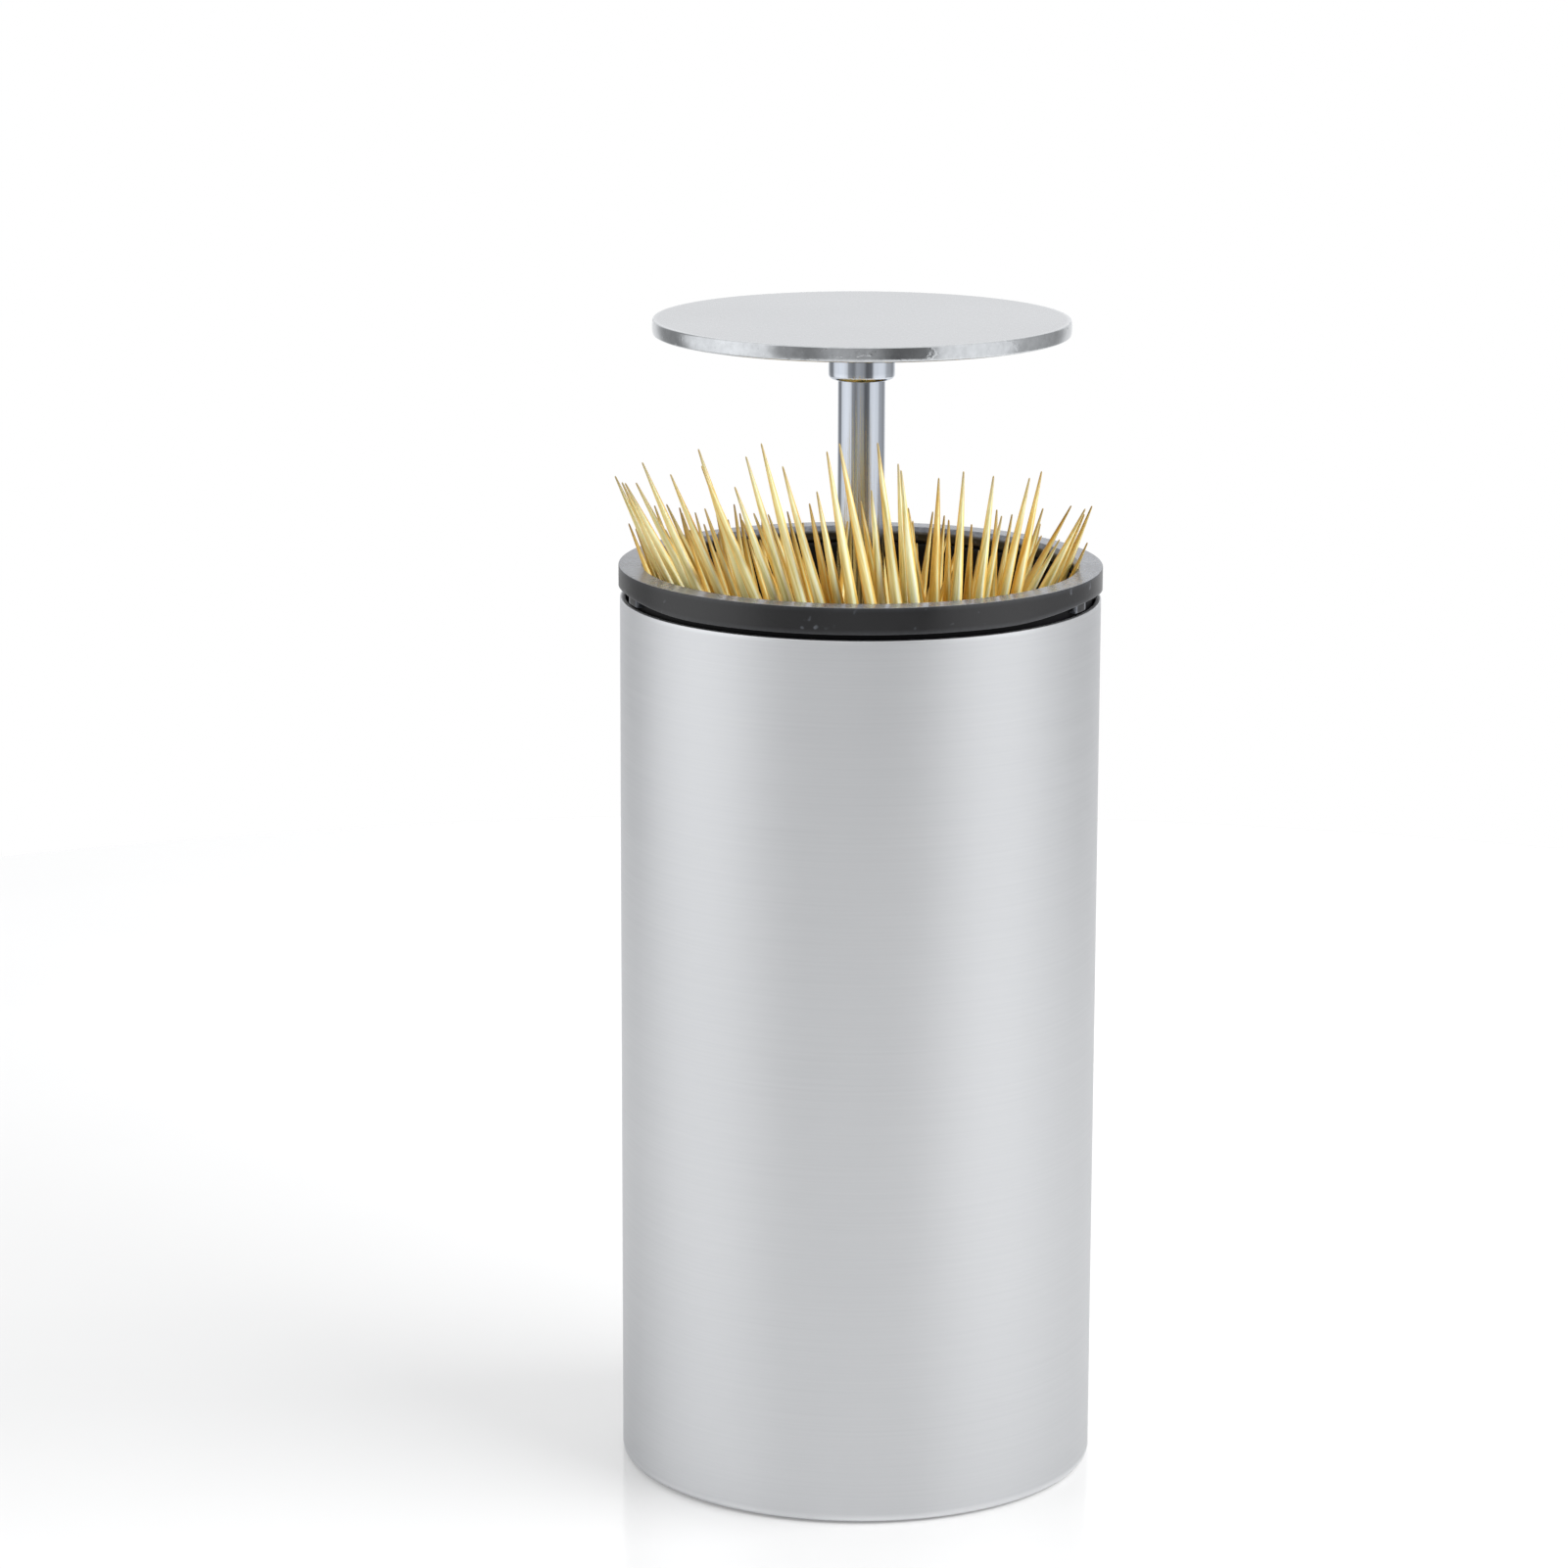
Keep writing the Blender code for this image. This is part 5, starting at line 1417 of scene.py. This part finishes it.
    def carriers(
        self, places: np.ndarray, steps: list[tuple[float, np.ndarray]]
    ) -> tuple[np.ndarray, np.ndarray]:
        """The body that each place can ride on with most room: a toothpick that stands near, or the lid.

        Args:
            places: Ends of n places.
            steps: Each drop of the lid, with the ends of the standing toothpicks then.

        Returns:
            Index of the carrier and the least gap with it.
        """
        feet, middle = places[0], places[0] + self.near_share * (places[1] - places[0])
        stand_feet, stand_tips = steps[0][1]
        stand_middle = stand_feet + self.near_share * (stand_tips - stand_feet)
        apart = self.foot_weight * np.linalg.norm(feet[:, None] - stand_feet, axis=2)
        apart += np.linalg.norm(middle[:, None] - stand_middle, axis=2)
        order = np.argsort(apart, axis=1)[:, : self.nearest]
        best, carrier = np.full(len(feet), -1.0), np.full(len(feet), -1)
        for index in range(-1, len(self.axes)):
            mine = np.flatnonzero((order == index).any(axis=1)) if index >= 0 else np.arange(len(feet))
            least = np.full(len(mine), np.inf)
            for drop, others in steps:
                moved = self.carried(places[:, mine], index, drop)
                least = np.minimum(least, np.minimum(self.room(moved, drop), self.passing(moved, others)))
            better = least > best[mine]
            best[mine[better]], carrier[mine[better]] = least[better], index
        return carrier, best

    def found(self) -> list[tuple[np.ndarray, int]]:
        """Choose the places.

        Returns:
            Both ends and the index of the carrier of every short toothpick, in the order of placing.
        """
        stand, steps = self.standing, []
        for drop in np.linspace(0, self.travel, self.levels):
            moved = [self.carried(stand[:, [index]], index, drop) for index in range(len(self.axes))]
            steps.append((drop, np.concatenate(moved, axis=1)))
        places = self.drawn()
        places = places[:, self.passing(places, stand) > self.least_gap]
        places = places[:, self.room(places, 0) > self.least_gap]
        places = places[:, self.gap(places, stand) > self.least_gap]
        carrier, best = self.carriers(places, steps)
        keep = best > self.least_gap
        places, carrier = places[:, keep], carrier[keep]
        paths = [places.copy() for _ in steps]
        clear = np.ones(len(carrier), dtype=bool)
        for path, (drop, others) in zip(paths, steps):
            for index in np.unique(carrier):
                mine = carrier == index
                path[:, mine] = self.carried(places[:, mine], index, drop)
            clear &= self.gap(path, others) > self.least_gap
        cells, dark = self.cover(places), 1 - self.cover(stand).max(axis=0)
        chosen = []
        while clear.any():
            pick = int(np.where(clear, cells @ dark, -1).argmax())
            chosen.append((places[:, pick], int(carrier[pick])))
            dark = dark * (1 - cells[pick])
            clear[pick] = False
            for path in paths:
                left = np.flatnonzero(clear)
                clear[left] = self.gap(path[:, left], path[:, [pick]]) > self.least_gap
        log.info("short toothpicks: %d placed among %d", len(chosen), len(self.axes))
        return chosen


@dataclass
class Toothpicks:
    """The fan of toothpicks, each on its own body, turned to a long point at both ends.

    Shades run from 0 for straw to 1 for ochre. Bearings are in degrees from the front towards +X.
    """

    radius: float = 0.63 * MM
    tip_radius: float = 0.08 * MM
    tip_length: float = 0.096 * MM
    taper: float = 17.0 * MM
    facets: int = 26
    end_shares: tuple[float, ...] = (
        0.0, 0.00025, 0.0008, 0.003, 0.010, 0.025, 0.05, 0.08, 0.115, 0.155, 0.2, 0.25, 0.29, 0.35, 0.43, 0.5,
    )
    bow: float = 0.05 * MM
    flat_depth: float = 0.035
    pattern_step: float = 3.7 * MM
    charred_length: float = 4.5 * MM
    charring: float = 0.75
    charring_fall: float = 1.5
    # Painted highlight: a pale band a little right of the front of each toothpick. Painted shade: darker
    # flanks on both sides of it.
    painted_highlight_bearing: float = 27.0
    painted_highlight_width: float = 12.0
    painted_highlight_depth: float = 1.2
    painted_shade_bearings: tuple[float, float] = (-85.0, 80.0)
    painted_shade_widths: tuple[float, float] = (45.0, 30.0)
    painted_shade_depth: float = 0.75
    count: int = 39
    foot_overlap: float = 0.1 * MM
    tip_zone: float = 0.03 * MM
    straw_tone: float = 0.26
    ochre_tone: float = 0.78
    tone_spread: float = 0.22
    short_tones: tuple[float, float] = (-0.3, 0.15)
    short_tone: float = 0.85
    short_seeds: int = 100
    ochre: tuple[int, ...] = (9, 10, 12, 15, 17, 22, 26, 28, 29, 31, 33, 36, 37)

    def along(self, length: float) -> np.ndarray:
        """Distances from the foot of a toothpick of this length, close together at its points."""
        half = np.array(self.end_shares)
        return np.concatenate([half, 1 - half[-2::-1]]) * length

    def thickness(self, along: np.ndarray) -> np.ndarray:
        """Radius along a toothpick: a rounded tip, then a taper that eases into the full radius.

        Args:
            along: Distances from the foot.

        Returns:
            The radius at each.
        """
        body = tapered(along, along[-1], self.radius, self.tip_radius, self.taper)
        from_tip = np.minimum(along, along[-1] - along)
        return body * np.sqrt(np.clip(from_tip / self.tip_length, 0, 1))

    def pick(self, name: str, foot: np.ndarray, tip: np.ndarray, seed: int, tone: float) -> bpy.types.Object:
        """One toothpick with flats left by the turning, a faint bow, and a painted highlight and painted
        shade in its tone.

        Args:
            name: Name of the piece.
            foot: Lower end.
            tip: Upper end.
            seed: Number that varies its flats.
            tone: Shade from straw to ochre.

        Returns:
            The toothpick.
        """
        length = float(np.linalg.norm(tip - foot))
        along = self.along(length)
        share = along / length
        way = (tip - foot) / length
        side = np.cross(way, [0.0, 0.0, 1.0])
        side /= max(np.linalg.norm(side), NEVER_ZERO)
        chance = np.random.default_rng(seed)
        bow = chance.uniform(-1, 1) * self.bow * np.sin(share * math.pi)
        path = foot + share[:, None] * (tip - foot) + bow[:, None] * side
        angle = np.arange(self.facets) * FULL_TURN / self.facets
        count, phase, twist = chance.integers(4, 7), chance.uniform(0, FULL_TURN), chance.uniform(-2, 2)
        flats = 1 - self.flat_depth * (1 + np.cos(count * angle + phase + twist * share[:, None]))
        skin = rod_along(path, self.thickness(along)[:, None] * flats, side, self.facets)
        girth = FULL_TURN * np.interp(skin.uv[..., 1], along, self.thickness(along))
        skin.uv[..., 0] = (skin.uv[..., 0] - 0.5) * girth + seed * self.pattern_step
        height = (skin.points - foot) @ way
        nearness = np.clip(1 - (length - height) / self.charred_length, 0, 1)
        charred = self.charring * nearness**self.charring_fall
        # Tone plus a painted highlight and painted shade, fixed by bearing from the front
        tones = tone + self.grain_side(skin.points - foot - height[:, None] * way)
        return piece_of(name, replace(skin, wear=charred), [WOOD], tones)

    def grain_side(self, spokes: np.ndarray) -> np.ndarray:
        """Painted highlight and painted shade round a toothpick, set by bearing from the front: a narrow pale
        band stands for a highlight, with painted shade on both sides of it.

        The band and the painted shade fade as exp(-(angle from the middle / width) squared).

        Args:
            spokes: (n, 3) vectors from the axis to the surface.

        Returns:
            What to add to the tone at each point.
        """
        bearing = np.degrees(np.arctan2(spokes[:, 0], -spokes[:, 1]))
        band = np.exp(-(((bearing - self.painted_highlight_bearing) / self.painted_highlight_width) ** 2))
        off = (bearing[:, None] - np.array(self.painted_shade_bearings)) / np.array(self.painted_shade_widths)
        return self.painted_shade_depth * np.exp(-(off**2)).sum(axis=1) - self.painted_highlight_depth * band

    def build(self) -> None:
        """Stand a toothpick where each toothpick node of the frame stands, then the short ones."""
        folds = {joint["child"]: joint for joint in frame["joints"]}
        chance = np.random.default_rng(7)
        ends, axes, angles = [], [], []
        for number in range(1, self.count + 1):
            node = f"toothpick_{number:02d}"
            mesh = frame["nodes"][node].data
            spots = np.empty(3 * len(mesh.vertices), dtype=np.float32)
            mesh.vertices.foreach_get("co", spots)
            spots = spots.reshape(-1, 3).astype(float)
            foot = np.array(folds[node]["pos_m"])
            reach = np.linalg.norm(spots - foot, axis=1)
            far = spots[reach > reach.max() - self.tip_zone].mean(axis=0)
            way = (far - foot) / np.linalg.norm(far - foot)
            tone = self.ochre_tone if number in self.ochre else self.straw_tone
            tone += chance.uniform(-self.tone_spread, self.tone_spread)
            piece = self.pick(f"birch_{node}", foot - way * self.foot_overlap, far, number, tone)
            settle(piece, node, Slot.BIRCH_WOOD, node)
            ends.append((foot, far))
            axes.append(folds[node]["axis"])
            angles.append(math.radians(folds[node]["range_deg"][0]))
        sizes = (self.radius / MM, self.tip_radius / MM, self.taper / MM)
        places = ShortPlaces(np.array(ends).swapaxes(0, 1) / MM, np.array(axes), np.array(angles), *sizes)
        for number, ((foot, tip), carrier) in enumerate(places.found(), 1):
            tone = self.short_tone + chance.uniform(*self.short_tones)
            name = f"short_toothpick_{number:02d}"
            piece = self.pick(name, foot * MM, tip * MM, self.short_seeds + number, tone)
            body = Body.LID.value if carrier < 0 else f"toothpick_{carrier + 1:02d}"
            settle(piece, body, Slot.BIRCH_WOOD)


@dataclass
class CatchWorks:
    """Hidden pieces that keep the frame's own shapes, with the finish of each."""

    finishes: dict[str, Finish] = field(
        default_factory=lambda: {
            "base_plug": BASE_PLASTIC,
            "ratchet_collar": ACETAL,
            "click_rotor": ACETAL,
            **dict.fromkeys(("base_screw_1", "base_screw_2", "base_screw_3"), ZINC),
            **dict.fromkeys(("spring_seat", "carrier_washer", "carrier_nut", "rotor_clip"), ZINC),
        }
    )

    def build(self) -> None:
        """Put each finish into the material slots of its node."""
        for name, finish in self.finishes.items():
            node = frame["nodes"][name]
            for slot in node.material_slots:
                slot.material = finish.material()
            log.info("%s: finish %s", name, finish.name)


@dataclass
class Studio:
    """Camera, pale floor and the soft light of a photographer's tent.

    The rows of the tent are a bearing in degrees, nought towards the camera, and the brightness there.
    """

    camera_place: Triple = (0.0, -0.542086, 0.194942)
    yaw: float = -0.0145475
    pitch: float = 0.2217293
    roll: float = 0.0028420
    lens: float = 121.678
    floor_radius: float = 0.30
    floor_depth: float = 2.0 * MM
    floor_rounding: float = 0.5 * MM
    floor_shades: tuple[float, float] = (0.53, 0.54)
    camera_lift: float = 0.22
    mirror_lift: float = 0.09
    softbox_height: float = 0.36
    softbox_aim: Triple = (0.0, 0.0, 0.07)
    roof_levels: tuple[float, float] = (0.4, 0.8)
    tint: Triple = (1.0, 1.005, 1.015)
    tent: tuple[tuple[float, float], ...] = (
        (-180.0, 1.0),
        (-158.0, 0.85),
        (-138.0, 0.34),
        (-122.0, 0.3),
        (-104.0, 1.05),
        (-78.0, 1.22),
        (-56.0, 1.05),
        (-44.0, 0.40),
        (-28.0, 0.28),
        (-13.0, 0.52),
        (4.0, 0.42),
        (19.0, 0.15),
        (34.0, 0.21),
        (46.0, 0.98),
        (64.0, 1.08),
        (84.0, 1.02),
        (100.0, 0.55),
        (134.0, 0.4),
        (156.0, 0.85),
        (180.0, 1.0),
    )

    def camera(self) -> None:
        """Stand the camera where the photograph was taken from.

        Its axes come from yaw, pitch and roll: forward is (sin yaw cos pitch, cos yaw cos pitch,
        -sin pitch), and right and up are turned about it by the roll.
        """
        yaw, pitch, roll = self.yaw, self.pitch, self.roll
        forward = Vector((math.sin(yaw) * math.cos(pitch), math.cos(yaw) * math.cos(pitch), -math.sin(pitch)))
        level = Vector((math.cos(yaw), -math.sin(yaw), 0.0))
        above = level.cross(forward)
        right = math.cos(roll) * level + math.sin(roll) * above
        up = -math.sin(roll) * level + math.cos(roll) * above
        turn = Matrix((right, up, -forward)).transposed().to_4x4()
        data = bpy.data.cameras.new("photo_camera")
        data.lens = self.lens
        data.sensor_width = 36.0
        data.clip_start, data.clip_end = 0.01, 20.0
        camera = bpy.data.objects.new("photo_camera", data)
        camera.matrix_world = Matrix.Translation(self.camera_place) @ turn
        bpy.context.scene.collection.objects.link(camera)
        bpy.context.scene.camera = camera

    def floor(self) -> None:
        """Round pale table, smooth enough to mirror the sleeve faintly, lifted to white for the camera."""
        material = bpy.data.materials.new("pale_table")
        sheet = NodeSheet(material)
        clouds = sheet.noise(sheet.place(), scale=30.0, detail=3.0)
        dim, pale = ((shade, shade, shade) for shade in self.floor_shades)
        sheet.shade(
            Base_Color=sheet.tinted(clouds, dim, pale),
            Roughness=sheet.varied(clouds, 0.1, 0.14),
        )
        sheet.relief((clouds, 0.002 * MM))
        path = sheet.add("LightPath", {}).outputs
        to_camera = sheet.maths("MULTIPLY", path["Is Camera Ray"], self.camera_lift)
        to_mirrors = sheet.maths("MULTIPLY", path["Is Glossy Ray"], self.mirror_lift)
        lift = sheet.add("Emission", {"Strength": sheet.maths("ADD", to_camera, to_mirrors)})
        both = sheet.add("AddShader", {0: sheet.shader.outputs["BSDF"], 1: lift.outputs["Emission"]})
        sheet.feed(sheet.tree.nodes["Material Output"].inputs["Surface"], both.outputs["Shader"])
        slab = rounded_profile([
            (0.0, 0.0, 0.0),
            (self.floor_radius, 0.0, self.floor_rounding),
            (self.floor_radius, -self.floor_depth, self.floor_rounding),
            (0.0, -self.floor_depth, 0.0),
        ])
        table = piece_of("pale_table", turned(slab, 192), [])
        table.data.materials.append(material)

    def light(self) -> None:
        """White behind what the camera sees, and round the object a tent of bright and dim panels.

        The panels are a ramp of the bearing of a ray, atan2(x, -y), so nought is towards the camera.
        """
        world = bpy.data.worlds.new("light_tent")
        bpy.context.scene.world = world
        sheet = NodeSheet(world)
        sheet.tree.nodes.clear()
        ray = sheet.add("SeparateXYZ", {0: sheet.add("TexCoord", {}).outputs["Generated"]}).outputs
        bearing = sheet.maths("ARCTAN2", ray["X"], sheet.maths("MULTIPLY", ray["Y"], -1.0))
        share = sheet.maths("ADD", sheet.maths("MULTIPLY", bearing, 1 / FULL_TURN), 0.5)
        stops = [(angle / 360.0 + 0.5, scaled(self.tint, level / 2)) for angle, level in self.tent]
        height = sheet.maths("ABSOLUTE", ray["Z"], 0.0)
        roof = sheet.ranged(height, *self.roof_levels, 0.0, 1.0, interpolation_type="SMOOTHSTEP")
        tent = sheet.mixed(roof, sheet.ramp(share, stops, "EASE"), (0.5, 0.5, 0.5))
        glow = sheet.add("Background", {"Color": tent, "Strength": 2.0})
        white = sheet.add("Background", {"Color": (1.0, 1.0, 1.0)})
        path = sheet.add("LightPath", {}).outputs
        seen = sheet.maths("MAXIMUM", path["Is Camera Ray"], path["Is Transmission Ray"])
        either = sheet.add("MixShader", {0: seen, 1: glow.outputs[0], 2: white.outputs[0]})
        sheet.add("OutputWorld", {"Surface": either.outputs["Shader"]})
        self.lamp("key_softbox", (0.56, -0.20, 0.50), size=0.75, power=7.0)
        self.lamp("fill_softbox", (-0.50, -0.16, 0.50), size=0.4, power=0.6)

    def lamp(self, name: str, place: Triple, size: float, power: float) -> None:
        """Hang an oblong softbox that faces the dispenser.

        Args:
            name: Name of the lamp.
            place: Where it hangs.
            size: Its width; its height is self.softbox_height.
            power: Its power in watts.
        """
        data = bpy.data.lights.new(name, "AREA")
        data.shape = "RECTANGLE"
        data.size, data.size_y = size, self.softbox_height
        data.energy = power
        lamp = bpy.data.objects.new(name, data)
        lamp.location = place
        toward = Vector(self.softbox_aim) - Vector(place)
        lamp.rotation_euler = toward.to_track_quat("-Z", "Y").to_euler()
        lamp.visible_glossy = False
        bpy.context.scene.collection.objects.link(lamp)

    def build(self) -> None:
        """Set up camera, table and light."""
        self.camera()
        self.floor()
        self.light()
        bpy.context.scene.view_settings.view_transform = "Standard"


def main() -> None:
    """Build every sub-assembly in order."""
    logging.basicConfig(level=logging.INFO, format="%(message)s")
    for assembly in (Studio(), OuterBody(), LiftSpring(), CatchWorks(), LidAndDish(), Toothpicks()):
        assembly.build()
        log.info("%s built", type(assembly).__name__)


if __name__ == "__main__":
    main()
